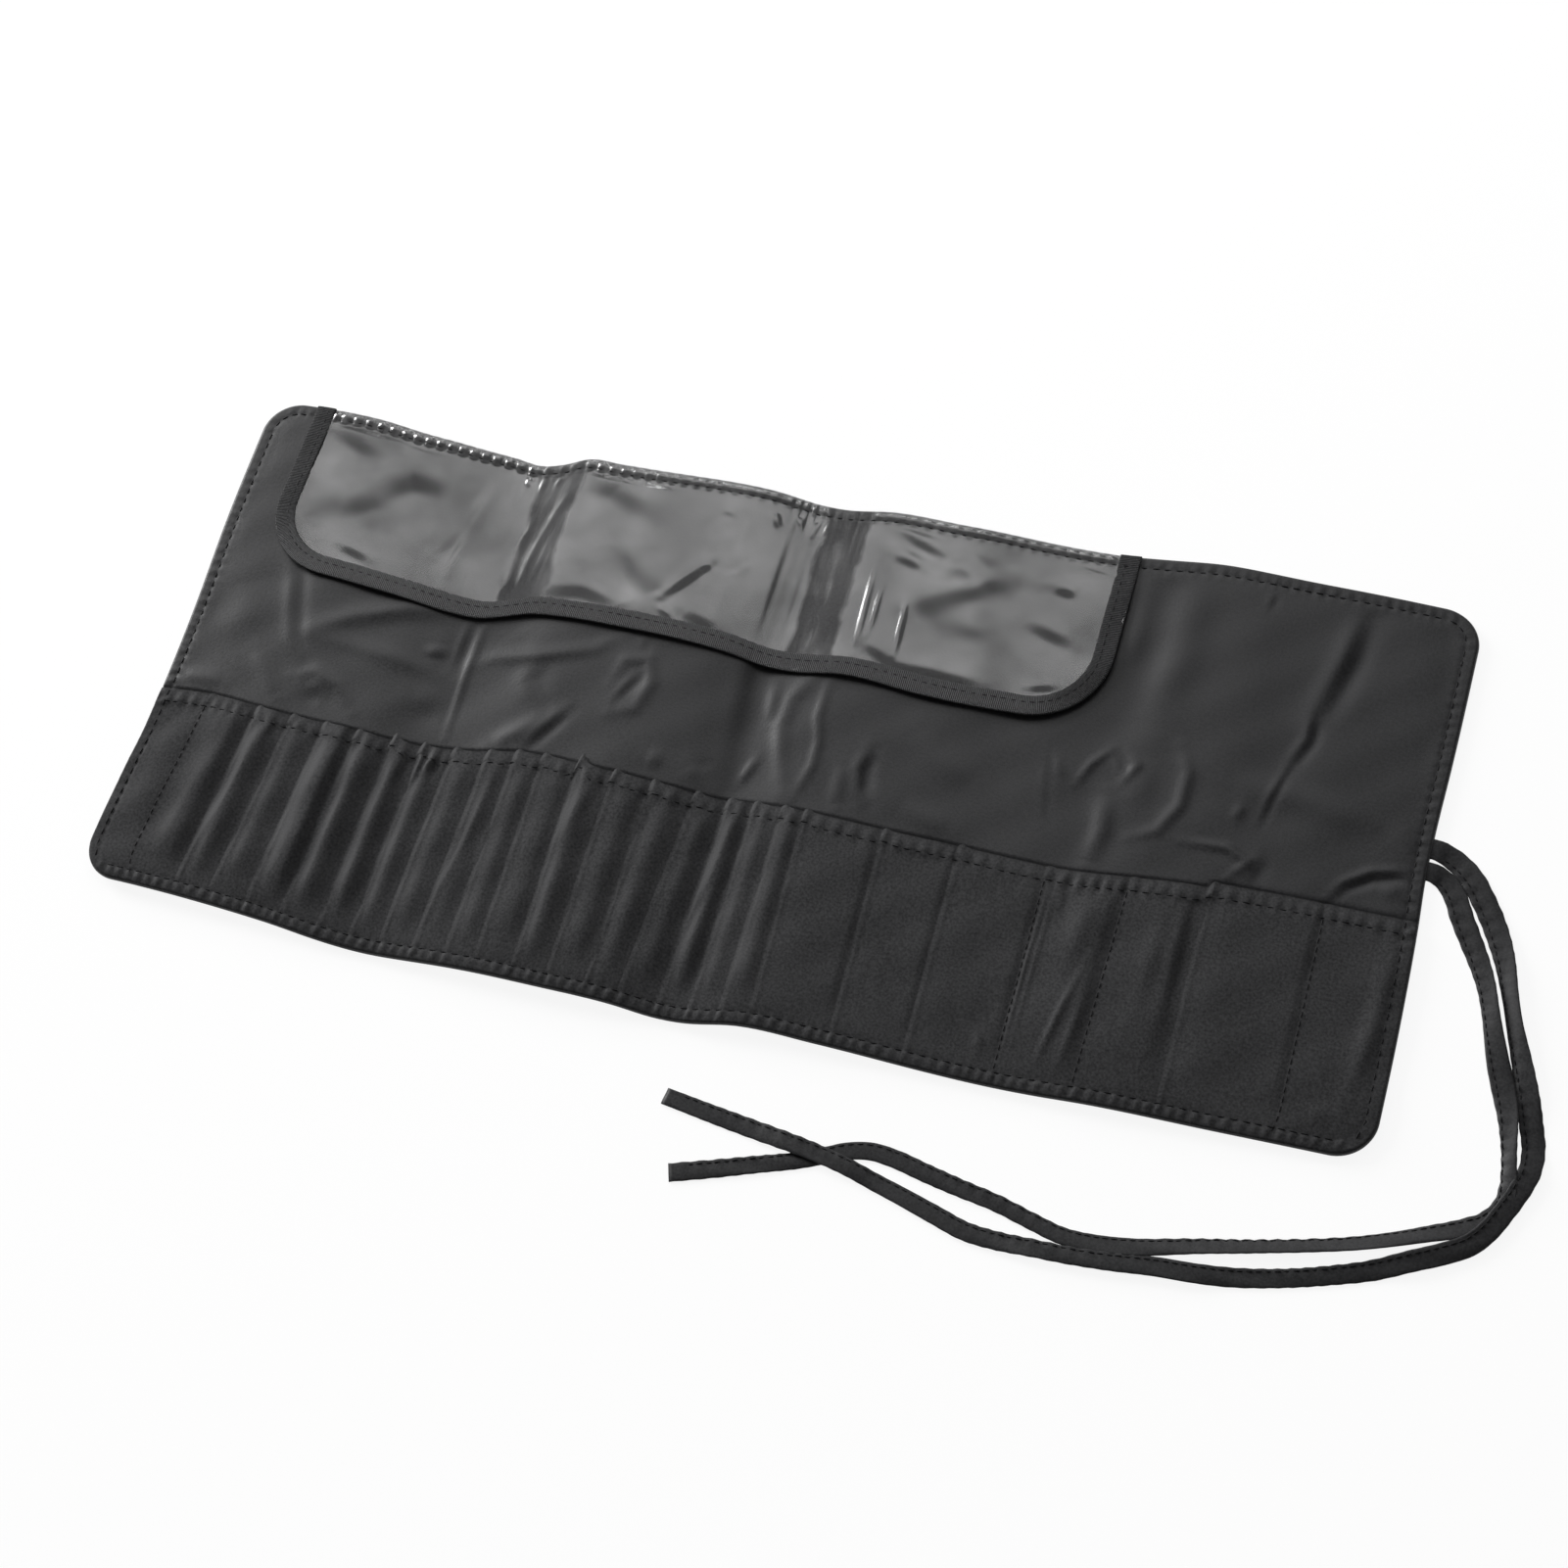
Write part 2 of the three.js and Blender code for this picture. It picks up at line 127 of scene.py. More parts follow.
for name, centre, aim, size, watts in (
    ("softbox", (-0.42, 0.853, 1.063), (-0.42, 0.205, 0.0), (1.2, 0.58), 1.5),
    ("softbox_edge", (-0.42, 0.858, 1.072), (-0.42, 0.205, 0.0), (1.4, 0.78), 2.3),
    ("softbox_glow", (-0.42, 0.863, 1.080), (-0.42, 0.205, 0.0), (1.6, 0.98), 3.3),
    ("edge_light", (-0.53, 2.1, 0.87), (-0.02, 0.113, 0.0), (0.7, 0.36), 5.0),
    ("window", (-4.48, 2.2, 1.72), (0.0, 0.0, 0.0), (2.2, 2.2), 320.0),
):
    lamp_data = bpy.data.lights.new(name, "AREA")
    lamp_data.shape = "RECTANGLE"
    lamp_data.size, lamp_data.size_y = size
    lamp_data.energy = watts
    lamp = bpy.data.objects.new(name, lamp_data)
    bpy.context.collection.objects.link(lamp)
    lamp.location = centre
    lamp.rotation_euler = (Vector(aim) - Vector(centre)).to_track_quat("-Z", "Y").to_euler()

ROOM_LIGHT = 0.12
room = bpy.data.worlds.new("room")
room.use_nodes = True
room.node_tree.nodes["Background"].inputs["Color"].default_value = (1, 1, 1, 1)
room.node_tree.nodes["Background"].inputs["Strength"].default_value = ROOM_LIGHT
bpy.context.scene.world = room

SWEEP_RADIUS, SWEEP_RIM, SWEEP_RISE, SWEEP_SIDES = 8.0, 11.0, 2.6, 24
PAPER_WHITE, PAPER_GLOW = 0.92, 1.05
SWEEP_SHADOW, SHADOW_REACH = 0.15, 2.2
sweep_bm = bmesh.new()
bmesh.ops.create_cone(
    sweep_bm, cap_ends=True, segments=SWEEP_SIDES, radius1=SWEEP_RADIUS,
    radius2=SWEEP_RIM, depth=SWEEP_RISE, matrix=Matrix.Translation((0, 0, SWEEP_RISE / 2)),
)
lid = [face for face in sweep_bm.faces if face.calc_center_median().z > SWEEP_RISE * 0.9]
bmesh.ops.delete(sweep_bm, geom=lid, context="FACES_ONLY")
bmesh.ops.reverse_faces(sweep_bm, faces=sweep_bm.faces[:])
sweep_mesh = bpy.data.meshes.new("sweep")
sweep_bm.to_mesh(sweep_mesh)
sweep_bm.free()
sweep = bpy.data.objects.new("sweep", sweep_mesh)
bpy.context.collection.objects.link(sweep)
white = Finish("white_sheet")
paper = white.node("BsdfDiffuse", None, {"Color": (PAPER_WHITE, PAPER_WHITE, PAPER_WHITE, 1)})
bright = white.node("Emission", None, {"Color": (1, 1, 1, 1), "Strength": PAPER_GLOW})
seen = 0.0
for ray in ("Is Camera Ray", "Is Glossy Ray", "Is Transmission Ray"):
    seen += white.node("LightPath", output=ray)
where = white.node("TexCoord", output="Object")
away = white.node("VectorMath", {"operation": "LENGTH"}, {0: where}, "Value")
clamped = {"operation": "SUBTRACT", "use_clamp": True}
near = white.node("Math", clamped, {0: SHADOW_REACH, 1: away})
share = white.node("Math", {"operation": "MINIMUM"}, {0: seen, 1: 1.0})
share *= 1 - near * SWEEP_SHADOW
sweep_mesh.materials.append(
    white.surface(white.node("MixShader", None, {0: share, 1: paper, 2: bright}))
)


# Tie tapes: two strips of the cover cloth, folded lengthwise, stitched along one edge and sewn
# into the right end under the lining. They lie loose on the table, the upper one over the lower.
# A route's points lie out from the right end and along y, with 1 where the tape is lifted.
UPPER_TIE_EXIT, LOWER_TIE_EXIT = 12.0, 2.8
UPPER_TIE_ROUTE = [
    (6, 10.3, 0), (13, 5.2, 0), (20, -4, 0), (26.4, -15, 0), (31.2, -26, 0), (35, -38, 0),
    (38.8, -50, 0), (42.8, -61, 0), (46.6, -72, 0), (50, -83, 0), (52.6, -93, 0),
    (52.6, -101, 1), (49.6, -111, 1), (46.5, -118, 1), (43, -125, 1), (38, -131.5, 1),
    (30, -136.8, 1), (20, -142, 1), (8, -148, 0), (-5, -153, 0), (-20, -157.8, 0),
    (-36, -161.6, 0), (-50, -163.8, 1), (-65, -165, 1), (-80, -167, 1), (-95, -168.2, 1),
    (-105, -168.6, 1), (-119, -168.8, 0), (-131, -168, 0), (-142, -165, 0), (-155, -161.3, 0),
    (-166, -158.4, 0), (-176, -155.8, 1), (-190, -153, 1), (-202, -151.3, 1), (-214, -149.6, 0),
    (-232, -147.3, 0), (-249, -145, 0),
]
LOWER_TIE_ROUTE = [
    (5, 1, 0), (9.5, -4, 0), (13.5, -12, 0), (18, -20, 0), (22.7, -28.5, 0), (26.6, -37, 0),
    (29.6, -46, 0), (32.4, -55, 0), (35.4, -64, 0), (38.8, -73, 0), (41.8, -82, 0), (44, -92, 0),
    (45.5, -101, 0), (46.5, -108, 0), (46, -115, 0), (42, -121.5, 0), (34, -126.5, 0),
    (24, -131, 0), (12, -136, 0), (-1, -141, 0), (-15, -145, 0), (-30, -149, 0), (-45, -152.7, 0),
    (-60, -156.5, 0), (-72, -159.5, 0), (-85, -161.5, 0), (-98, -161.5, 0), (-108, -159.2, 0),
    (-122, -155.6, 0), (-136, -153.3, 0), (-150, -150.6, 0), (-162, -148.2, 0), (-170, -147.6, 0),
    (-178, -149.3, 0), (-186, -153, 0), (-195, -157, 0), (-206, -161, 0), (-222, -166.7, 0),
    (-239, -172.5, 0),
]
UPPER_TIE_TILT = [(0, 0), (45, 8), (72, 30), (95, 18), (112, 4), (150, -6), (300, 5), (460, 0)]
LOWER_TIE_TILT = [
    (0, 0), (40, 8), (62, 24), (90, 6), (116, 24), (140, 10), (175, 26), (230, 22), (275, 8),
    (432, 0),
]
UPPER_TIE_WIDTH = [
    (0, 8.2), (45, 8.6), (75, 6.4), (110, 8.2), (150, 7.8), (200, 7.2), (320, 7.0), (464, 6.8),
]
LOWER_TIE_WIDTH = [
    (0, 7.6), (30, 8.2), (62, 7.0), (90, 8.2), (118, 5.6), (140, 7.8), (170, 6.6), (250, 6.6),
    (436, 6.8),
]
RIGHT_END = 250.0
TIE_WIDTH, TIE_THICKNESS, TIE_SEAM = 7.2, 1.0, -2.3
TIE_SEWN_IN, TIE_SEWN_LIFT, TIE_CROSSING_LIFT, TIE_GAP = 4.0, 0.9, 1.15, 0.15
TIE_STEP, TIE_SAMPLES, TIE_RING, TIE_BLUNT = 1.6, 2400, 16, 0.6
TIE_WOBBLE, TIE_GATHER = 0.16, 0.25
TIE_STITCH_LENGTH, TIE_STITCH_THICKNESS, TIE_STITCH_LIFT = 2.4, 0.6, 0.36
MM = 0.001


def drawn(stations, at):
    """A smooth line through (place, value) stations, read at the given places."""
    places, values = np.array(stations, float).T
    slopes = np.gradient(values, places)
    i = np.clip(np.searchsorted(places, at) - 1, 0, len(places) - 2)
    run = places[i + 1] - places[i]
    t = np.clip((at - places[i]) / run, 0, 1)
    return (
        values[i] * (1 + 2 * t) * (1 - t) ** 2
        + values[i + 1] * t * t * (3 - 2 * t)
        + run * t * (1 - t) * (slopes[i] * (1 - t) - slopes[i + 1] * t)
    )


def hump(distance, width):
    """A soft bell, 1 at no distance."""
    return np.exp(-((distance / width) ** 2))


def blunt(wave, power):
    """A sine or cosine with its ends squared off."""
    return np.sign(wave) * np.abs(wave) ** power


def tube_grid(stations, ring):
    """A grid to roll into a tube, with each vertex's station and its angle round the tube."""
    bm = bmesh.new()
    bmesh.ops.create_grid(bm, x_segments=stations - 1, y_segments=ring, size=1.0)
    flat = np.array([v.co for v in bm.verts])
    station = np.rint((flat[:, 0] + 1) / 2 * (stations - 1)).astype(int)
    return bm, station, (flat[:, 1] + 1) * np.pi


def add_piece(name, bm, finish):
    """Makes a bmesh into a piece with one finish, smooth all over."""
    mesh = bpy.data.meshes.new(name)
    bm.to_mesh(mesh)
    bm.free()
    mesh.polygons.foreach_set("use_smooth", [True] * len(mesh.polygons))
    mesh.materials.append(finish)
    piece = bpy.data.objects.new(name, mesh)
    bpy.context.collection.objects.link(piece)
    return piece


def add_stitch(bm, centre, along, up, length, thickness):
    """One sunk stitch of thread: a small spindle lying on the cloth."""
    along, up = Vector(along).normalized(), Vector(up)
    side = up.cross(along).normalized()
    turn = Matrix((along, side, along.cross(side))).transposed().to_4x4()
    size = Matrix.Diagonal((length / 2, thickness / 2, thickness / 2, 1))
    bmesh.ops.create_uvsphere(
        bm, u_segments=6, v_segments=5, radius=1.0,
        matrix=Matrix.Translation(centre) @ turn @ size @ Matrix.Rotation(math.pi / 2, 4, "Y"),
    )


def cloth_finish(name, dark, pale, roughness, shine):
    """Dark satin cloth: fine crossing threads, cloudy tone and a broad silky shine."""
    finish = Finish(name)
    cloud = finish.noise(26, 3)
    weave = finish.noise(1000, 2)
    tone = finish.blend(cloud * 0.4 + weave * 1.5 - 0.45, dark, pale)
    bump = finish.node("Bump", None, {"Height": weave, "Strength": 0.2, "Distance": 0.0003})
    return finish.surface(finish.node("BsdfPrincipled", None, {
        "Base Color": tone,
        "Roughness": roughness - 0.2 + cloud * 0.1 + weave * 0.3,
        "Specular IOR Level": shine,
        "Sheen Weight": 0.05,
        "Sheen Roughness": 0.4,
        "Normal": bump,
    }, "BSDF"))


tie_finish = cloth_finish("tie_tape", (0.016, 0.016, 0.017), (0.042, 0.042, 0.044), 0.5, 0.2)
thread_finish = cloth_finish(
    "sewing_thread", (0.004, 0.004, 0.005), (0.013, 0.013, 0.014), 0.6, 0.15
)


def run_along(line):
    """The distance run along a line of places, seen from above."""
    return np.concatenate([[0], np.cumsum(np.hypot(*np.diff(line[:, :2], axis=0).T))])


def tie_tape(name, exit_y, route, tilt_stations, width_stations):
    """A limp tape along its route with its edge stitches; gives both pieces, path and length."""
    sewn_in = [(-TIE_SEWN_IN, exit_y, TIE_SEWN_LIFT), (0, exit_y, TIE_SEWN_LIFT)]
    points = np.array(sewn_in + route, float)
    measure = run_along(points)
    fine = np.linspace(0, measure[-1], TIE_SAMPLES)
    course = np.stack([drawn(list(zip(measure, points[:, k])), fine) for k in range(3)], 1)
    run = run_along(course)
    steps = np.linspace(0, run[-1], int(run[-1] / TIE_STEP))
    line = np.stack([np.interp(steps, run, course[:, k]) for k in range(3)], 1)
    ahead = np.gradient(line[:, :2], axis=0)
    ahead /= np.linalg.norm(ahead, axis=1)[:, None]
    tilt = np.radians(drawn(tilt_stations, steps))
    gathered = np.sin(steps * 1.1 + 1.6 * np.sin(steps / 9.0)) * np.sin(steps / 31.0 + 0.7)
    uneven = 1 + 0.04 * np.sin(steps / 13.0) + 0.03 * gathered
    half_width = drawn(width_stations, steps) / 2 * uneven
    floor = TIE_GAP + half_width * np.abs(np.sin(tilt)) + TIE_THICKNESS / 2 * np.cos(tilt)
    centre = np.column_stack([
        RIGHT_END + line[:, 0], line[:, 1], floor + TIE_CROSSING_LIFT * line[:, 2]
    ])
    side = np.column_stack([-ahead[:, 1] * np.cos(tilt), ahead[:, 0] * np.cos(tilt), np.sin(tilt)])
    over = np.column_stack([ahead[:, 1] * np.sin(tilt), -ahead[:, 0] * np.sin(tilt), np.cos(tilt)])

    def place(station, across, above):
        return centre[station] + side[station] * across[:, None] + over[station] * above[:, None]

    def buckle(station, across):
        """How far the tape's face stands off its middle line."""
        at = steps[station]
        wobble = TIE_WOBBLE * np.sin(at / 5.3 + across) * np.sin(at / 23.0)
        return wobble + TIE_GATHER * gathered[station] * hump(across - TIE_SEAM, 2.2)

    bm, station, angle = tube_grid(len(steps), TIE_RING)
    across = blunt(np.cos(angle), TIE_BLUNT) * half_width[station]
    above = blunt(np.sin(angle), TIE_BLUNT) * TIE_THICKNESS / 2
    above *= 1 - 0.45 * hump(across - TIE_SEAM, 0.5) * (above > 0)
    spots = place(station, across, above + buckle(station, across)) * MM
    for vertex, spot in zip(bm.verts, spots):
        vertex.co = spot
    bmesh.ops.remove_doubles(bm, verts=bm.verts[:], dist=1e-6)
    rims = [edge for edge in bm.edges if edge.is_boundary]
    bmesh.ops.holes_fill(bm, edges=rims, sides=TIE_RING)
    bmesh.ops.recalc_face_normals(bm, faces=bm.faces[:])
    tape = add_piece(name, bm, tie_finish)

    thread_bm = bmesh.new()
    sewn = np.arange(6, len(steps) - 4, 2)
    seam = np.full(len(sewn), TIE_SEAM)
    spots = place(sewn, seam, TIE_STITCH_LIFT + buckle(sewn, seam)) * MM
    for station, spot in zip(sewn, spots):
        add_stitch(
            thread_bm, spot, (*ahead[station], 0), over[station],
            TIE_STITCH_LENGTH * MM, TIE_STITCH_THICKNESS * MM,
        )
    threads = add_piece(name + "_thread", thread_bm, thread_finish)
    return tape, threads, centre * MM, run[-1] * MM


for end, exit_y, route, tilt, width in (
    ("upper", UPPER_TIE_EXIT, UPPER_TIE_ROUTE, UPPER_TIE_TILT, UPPER_TIE_WIDTH),
    ("lower", LOWER_TIE_EXIT, LOWER_TIE_ROUTE, LOWER_TIE_TILT, LOWER_TIE_WIDTH),
):
    tape, threads, path, length = tie_tape(f"tie_tape_{end}", exit_y, route, tilt, width)
    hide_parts(f"tie_{end}")
    for piece in (tape, threads):
        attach(piece, "case_7")


# Outer cover: one layer of dark woven cloth, the underside of the open case, with its edge turned
# in to a soft rim. The whole panel keeps the waves of having been packed folded.
HALF_LENGTH, HALF_DEPTH, CORNER = 250.0, 111.0, 15.0
ENDS_FROM = 205.0
PANEL_MIDDLE, PANEL_HALF_THICKNESS = 1.5, 1.5
SEAM_INSET, SEAM_GROOVE, COVER_SEAM_DEPTH = 5.0, 0.9, 0.3
FOLD_LINES = [-206.3, -161.9, -109.3, -40.3, 52.3, 143.5]
PART_ENDS = [-260.0, -184.1, -135.6, -74.8, 6.0, 97.9, 260.0]
WAVE = [
    (-250, 2.0), (-225, 2.3), (-206, 2.5), (-185, 2.3), (-160, 1.6), (-128, 0), (-100, 2.0),
    (-62, 3.2), (-30, 2.4), (-10.5, 0), (18, 2.6), (50, 1.9), (90, 0.6), (120, 0.3), (150, 1.4),
    (200, 0.8), (250, 0),
]
SWAY = [
    (-250, -1.0), (-225, -1.0), (-200, -1.8), (-170, -3.8), (-150, -5.4), (-128, -5.6),
    (-110, -4.8), (-90, -3.7), (-60, -3.0), (-30, -2.9), (-10, -3.8), (0, -3.7), (20, -1.4),
    (50, -1.8), (110, -2.1), (130, -1.1), (150, 0.4), (190, 0.8), (220, 1.0), (250, 1.0),
]
NEAR_SWAY = [
    (-250, 0), (-200, -0.4), (-160, -0.3), (-128, -1.3), (-90, -2.0), (-50, -2.7), (-20, -2.6),
    (10, -1.9), (50, -1.1), (90, -1.2), (130, -2.2), (150, -2.8), (190, -2.3), (230, -1.5),
    (250, -1.0),
]
FAR_SWAY = [
    (-250, -0.8), (-200, -0.2), (-180, -1.4), (-160, -1.4), (-140, -1.6), (-128, -2.8),
    (-119, -0.8), (-110, 2.6), (-95, 1.6), (-80, 0.9), (-50, 1.1), (-10, 0.6), (15, -0.5),
    (60, 0.3), (110, 0.5), (130, 1.3), (150, 1.5), (170, 1.0), (210, 0.5), (250, -0.5),
]
LEFT_BOW = [(-115, 0.4), (-80, 1.6), (-50, 3.4), (-20, 3.7), (10, 3.0), (50, 1.0), (115, 0.2)]
RIGHT_BOW = [(-115, 0), (-60, 0.2), (-22, -0.6), (0, -1.6), (20, -1.4), (45, -0.6), (115, 0.4)]


def sway(x, y):
    """How far the sewn panel lies out of straight, towards its far edge."""
    near, far = np.clip(-y / HALF_DEPTH, 0, 1), np.clip(y / HALF_DEPTH, 0, 1)
    return drawn(SWAY, x) + near * drawn(NEAR_SWAY, x) + far * drawn(FAR_SWAY, x)


def settle(x, y, z):
    """Where a point of the flat case lies on the table; millimetres in, metres out."""
    reach = HALF_LENGTH - ENDS_FROM
    left = drawn(LEFT_BOW, y) * np.clip((-ENDS_FROM - x) / reach, 0, 1.2) ** 2
    right = drawn(RIGHT_BOW, y) * np.clip((x - ENDS_FROM) / reach, 0, 1.2) ** 2
    return np.stack([x + left + right, y + sway(x, y), z + drawn(WAVE, x)], -1) * MM


def inside_rim(x, y):
    """How far a point lies inside the panel's rounded outline."""
    over_x = np.abs(x) - (HALF_LENGTH - CORNER)
    over_y = np.abs(y) - (HALF_DEPTH - CORNER)
    corner = np.hypot(np.maximum(over_x, 0), np.maximum(over_y, 0))
    return CORNER - corner - np.minimum(np.maximum(over_x, over_y), 0)


def round_ends(x, y, inset):
    """Draws the last columns of a grid in, so that its corners come out round."""
    radius = CORNER - inset
    rise = np.clip(np.abs(y) - (HALF_DEPTH - CORNER), 0, radius)
    half = HALF_LENGTH - CORNER + np.sqrt(np.maximum(radius ** 2 - rise ** 2, 0))
    far = np.maximum(np.abs(x) - ENDS_FROM, 0) / (HALF_LENGTH - inset - ENDS_FROM)
    end = np.sign(x) * (ENDS_FROM + far * (half - ENDS_FROM))
    return np.where(np.abs(x) > ENDS_FROM, end, x)


def spaced(low, high, step, rim):
    """Places from low to high, close together at the rims and step apart between them."""
    near = np.array(rim)
    middle = np.linspace(low + near[-1], high - near[-1], int((high - low) / step))
    return np.concatenate([low + near, middle[1:-1], (high - near)[::-1]])


def smooth(share):
    """A soft step from 0 to 1."""
    share = np.clip(share, 0, 1)
    return share * share * (3 - 2 * share)


def beside(x, y, line):
    """How far places lie from a line of points, in x and in y, and a fade towards its ends."""
    points = np.array(line, float)
    lengths = np.hypot(*np.diff(points, axis=0).T)
    nearest = np.full(np.shape(x), 1e9)
    off_x, off_y, along = (np.zeros(np.shape(x)) for _ in range(3))
    for k, length in enumerate(lengths):
        (ax, ay), (bx, by) = points[k], points[k + 1]
        t = np.clip(((x - ax) * (bx - ax) + (y - ay) * (by - ay)) / length ** 2, 0, 1)
        dx, dy = x - ax - t * (bx - ax), y - ay - t * (by - ay)
        closer = np.hypot(dx, dy) < nearest
        nearest = np.where(closer, np.hypot(dx, dy), nearest)
        off_x, off_y = np.where(closer, dx, off_x), np.where(closer, dy, off_y)
        along = np.where(closer, lengths[:k].sum() + t * length, along)
    fade = np.sin(np.pi * np.clip(along / lengths.sum(), 0.06, 0.94)) ** 0.8
    return off_x, off_y, fade


def crease(x, y, line, width, height):
    """A soft ridge, or a valley where height is negative, along a line of points."""
    off_x, off_y, fade = beside(x, y, line)
    return height * fade * hump(np.hypot(off_x, off_y), width)


def slope(x, y, line, width, steepness, towards):
    """A strip along a line that falls towards one side, and levels out again beside it."""
    off_x, off_y, fade = beside(x, y, line)
    downhill = off_x * towards[0] + off_y * towards[1]
    return -steepness * downhill * fade * hump(np.hypot(off_x, off_y), width)


def note_shading(mesh):
    """Notes how a whole sheet is shaded, before it is cut."""
    lie = np.zeros(len(mesh.vertices) * 3)
    mesh.vertex_normals.foreach_get("vector", lie)
    mesh.attributes.new("lie", "FLOAT_VECTOR", "POINT").data.foreach_set("vector", lie)


def keep_shading(mesh):
    """Shades each part of a cut sheet as the whole sheet was, with plain cut edges."""
    whole = np.zeros(len(mesh.vertices) * 3)
    mesh.attributes["lie"].data.foreach_get("vector", whole)
    corner = np.zeros(len(mesh.loops), int)
    mesh.loops.foreach_get("vertex_index", corner)
    totals = np.zeros(len(mesh.polygons), int)
    mesh.polygons.foreach_get("loop_total", totals)
    faces = np.zeros(len(mesh.polygons) * 3)
    mesh.polygons.foreach_get("normal", faces)
    face = np.repeat(faces.reshape(-1, 3), totals, axis=0)
    lie = whole.reshape(-1, 3)[corner]
    lie /= np.linalg.norm(lie, axis=1)[:, None]
    side = (face * lie).sum(1)[:, None]
    normals = np.where(side > 0.3, lie, np.where(side < -0.3, -lie, face))
    mesh.attributes.remove(mesh.attributes["lie"])
    mesh.normals_split_custom_set(normals)


def cut_between(bm, low, high):
    """Keeps what lies between two places along the case."""
    for place, outward in ((low, -1), (high, 1)):
        bmesh.ops.bisect_plane(
            bm, geom=bm.verts[:] + bm.edges[:] + bm.faces[:], dist=1e-7,
            plane_co=(place * MM, 0, 0), plane_no=(outward, 0, 0), clear_outer=True,
        )


def sheet_parts(name, columns, rows, lay, thickness, finish, breaks):
    """A cloth laid by lay(column, row), cut in parts at the breaks, each given its thickness."""
    bm = bmesh.new()
    bmesh.ops.create_grid(bm, x_segments=len(columns) - 1, y_segments=len(rows) - 1, size=1.0)
    whole = bpy.data.meshes.new(name)
    bm.to_mesh(whole)
    bm.free()
    flat = np.zeros(len(whole.vertices) * 3)
    whole.vertices.foreach_get("co", flat)
    flat = flat.reshape(-1, 3)
    column = np.rint((flat[:, 0] + 1) / 2 * (len(columns) - 1)).astype(int)
    row = np.rint((flat[:, 1] + 1) / 2 * (len(rows) - 1)).astype(int)
    whole.vertices.foreach_set("co", lay(columns[column], rows[row]).ravel())
    whole.update()
    note_shading(whole)
    parts = []
    for number, (low, high) in enumerate(zip(breaks[:-1], breaks[1:]), 1):
        bm = bmesh.new()
        bm.from_mesh(whole)
        cut_between(bm, low, high)
        bmesh.ops.solidify(bm, geom=bm.faces[:], thickness=thickness * MM)
        part = add_piece(f"{name}_{number}", bm, finish)
        keep_shading(part.data)
        parts.append(part)
    bpy.data.meshes.remove(whole)
    return parts


def bend_over_fold(piece):
    """Bakes a piece's placement into its mesh."""
    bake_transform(piece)


def dress_panels(parts, node):
    """Each part stands for the solid left of its fold line, the last one also for the right end."""
    for number, part in enumerate(parts, 1):
        nodes = [f"{node}_{number}"] + ([f"{node}_7"] if number == len(parts) else [])
        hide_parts(*nodes)
        bend_over_fold(part)


RIM_STEPS = [0, 0.15, 0.4, 0.8, 1.3, 1.9, 2.6, 3.4, 4.2, 4.7, 5.1, 5.6, 6.3, 7.2, 8.5]
RIM_RADIUS = 1.3
COVER_THICKNESS = 0.4
COVER_STEP = 3.4


def rim_round(inside):
    """How far the rim's rounding has brought the cloth from mid thickness, from 0 to 1."""
    return np.sqrt(1 - (1 - np.clip(inside / RIM_RADIUS, 0, 1)) ** 2)


def ripple(x, y):
    """The faint unevenness of sewn cloth."""
    return (
        0.16 * np.sin(x / 11.0 + y / 23.0) * np.sin(y / 14.0 - x / 31.0)
        + 0.10 * np.sin(x / 5.3 - y / 9.1 + 1.3) * np.sin(y / 7.7 + 0.4)
    )


def puckers(along):
    """Uneven gathers along a sewn line, between -1 and 1 and about a stitch long."""
    drift = 1.7 * np.sin(along / 9.0) + 1.1 * np.sin(along / 23.0)
    return 0.65 * np.sin(along * 1.40 + drift) + 0.35 * np.sin(along * 0.83 - 1.4 * drift)


def rim_puckers(x, y):
    """The same gathers across the rim seam, fading at the corners."""
    end, side = HALF_LENGTH - np.abs(x), HALF_DEPTH - np.abs(y)
    return smooth(np.abs(end - side) / 8) * puckers(np.where(end < side, y, x))


def lay_cover(column, row):
    x = round_ends(column, row, 0)
    inside = inside_rim(x, row)
    z = PANEL_MIDDLE - PANEL_HALF_THICKNESS * rim_round(inside)
    z += COVER_SEAM_DEPTH * hump(inside - SEAM_INSET, SEAM_GROOVE)
    z += np.maximum(ripple(x, row), 0) * np.clip(inside / 20, 0, 1)
    return settle(x, row, z)


cover_finish = cloth_finish(
    "cover_cloth", (0.018, 0.018, 0.019), (0.050, 0.050, 0.052), 0.5, 0.3
)
cover_parts = sheet_parts(
    "cover_cloth",
    spaced(-HALF_LENGTH, HALF_LENGTH, COVER_STEP, RIM_STEPS),
    spaced(-HALF_DEPTH, HALF_DEPTH, COVER_STEP, RIM_STEPS)[::-1],
    lay_cover, COVER_THICKNESS, cover_finish, PART_ENDS,
)
dress_panels(cover_parts, "cover")


# Interlining: a thin needled felt laid loose between cover and lining, inside the rim seam.
# It gives the panel its body and shows nowhere once the case is sewn.
FELT_INSET, FELT_THICKNESS, FELT_LEVEL, FELT_UNEVEN = 6.5, 0.5, 1.3, 0.12
FELT_STEP, FELT_RIM_STEPS = 4.0, [0, 1.5, 4.0]


def lay_felt(column, row):
    x = round_ends(column, row, FELT_INSET)
    return settle(x, row, FELT_LEVEL + FELT_UNEVEN * np.sin(x / 3.1) * np.sin(row / 2.7))


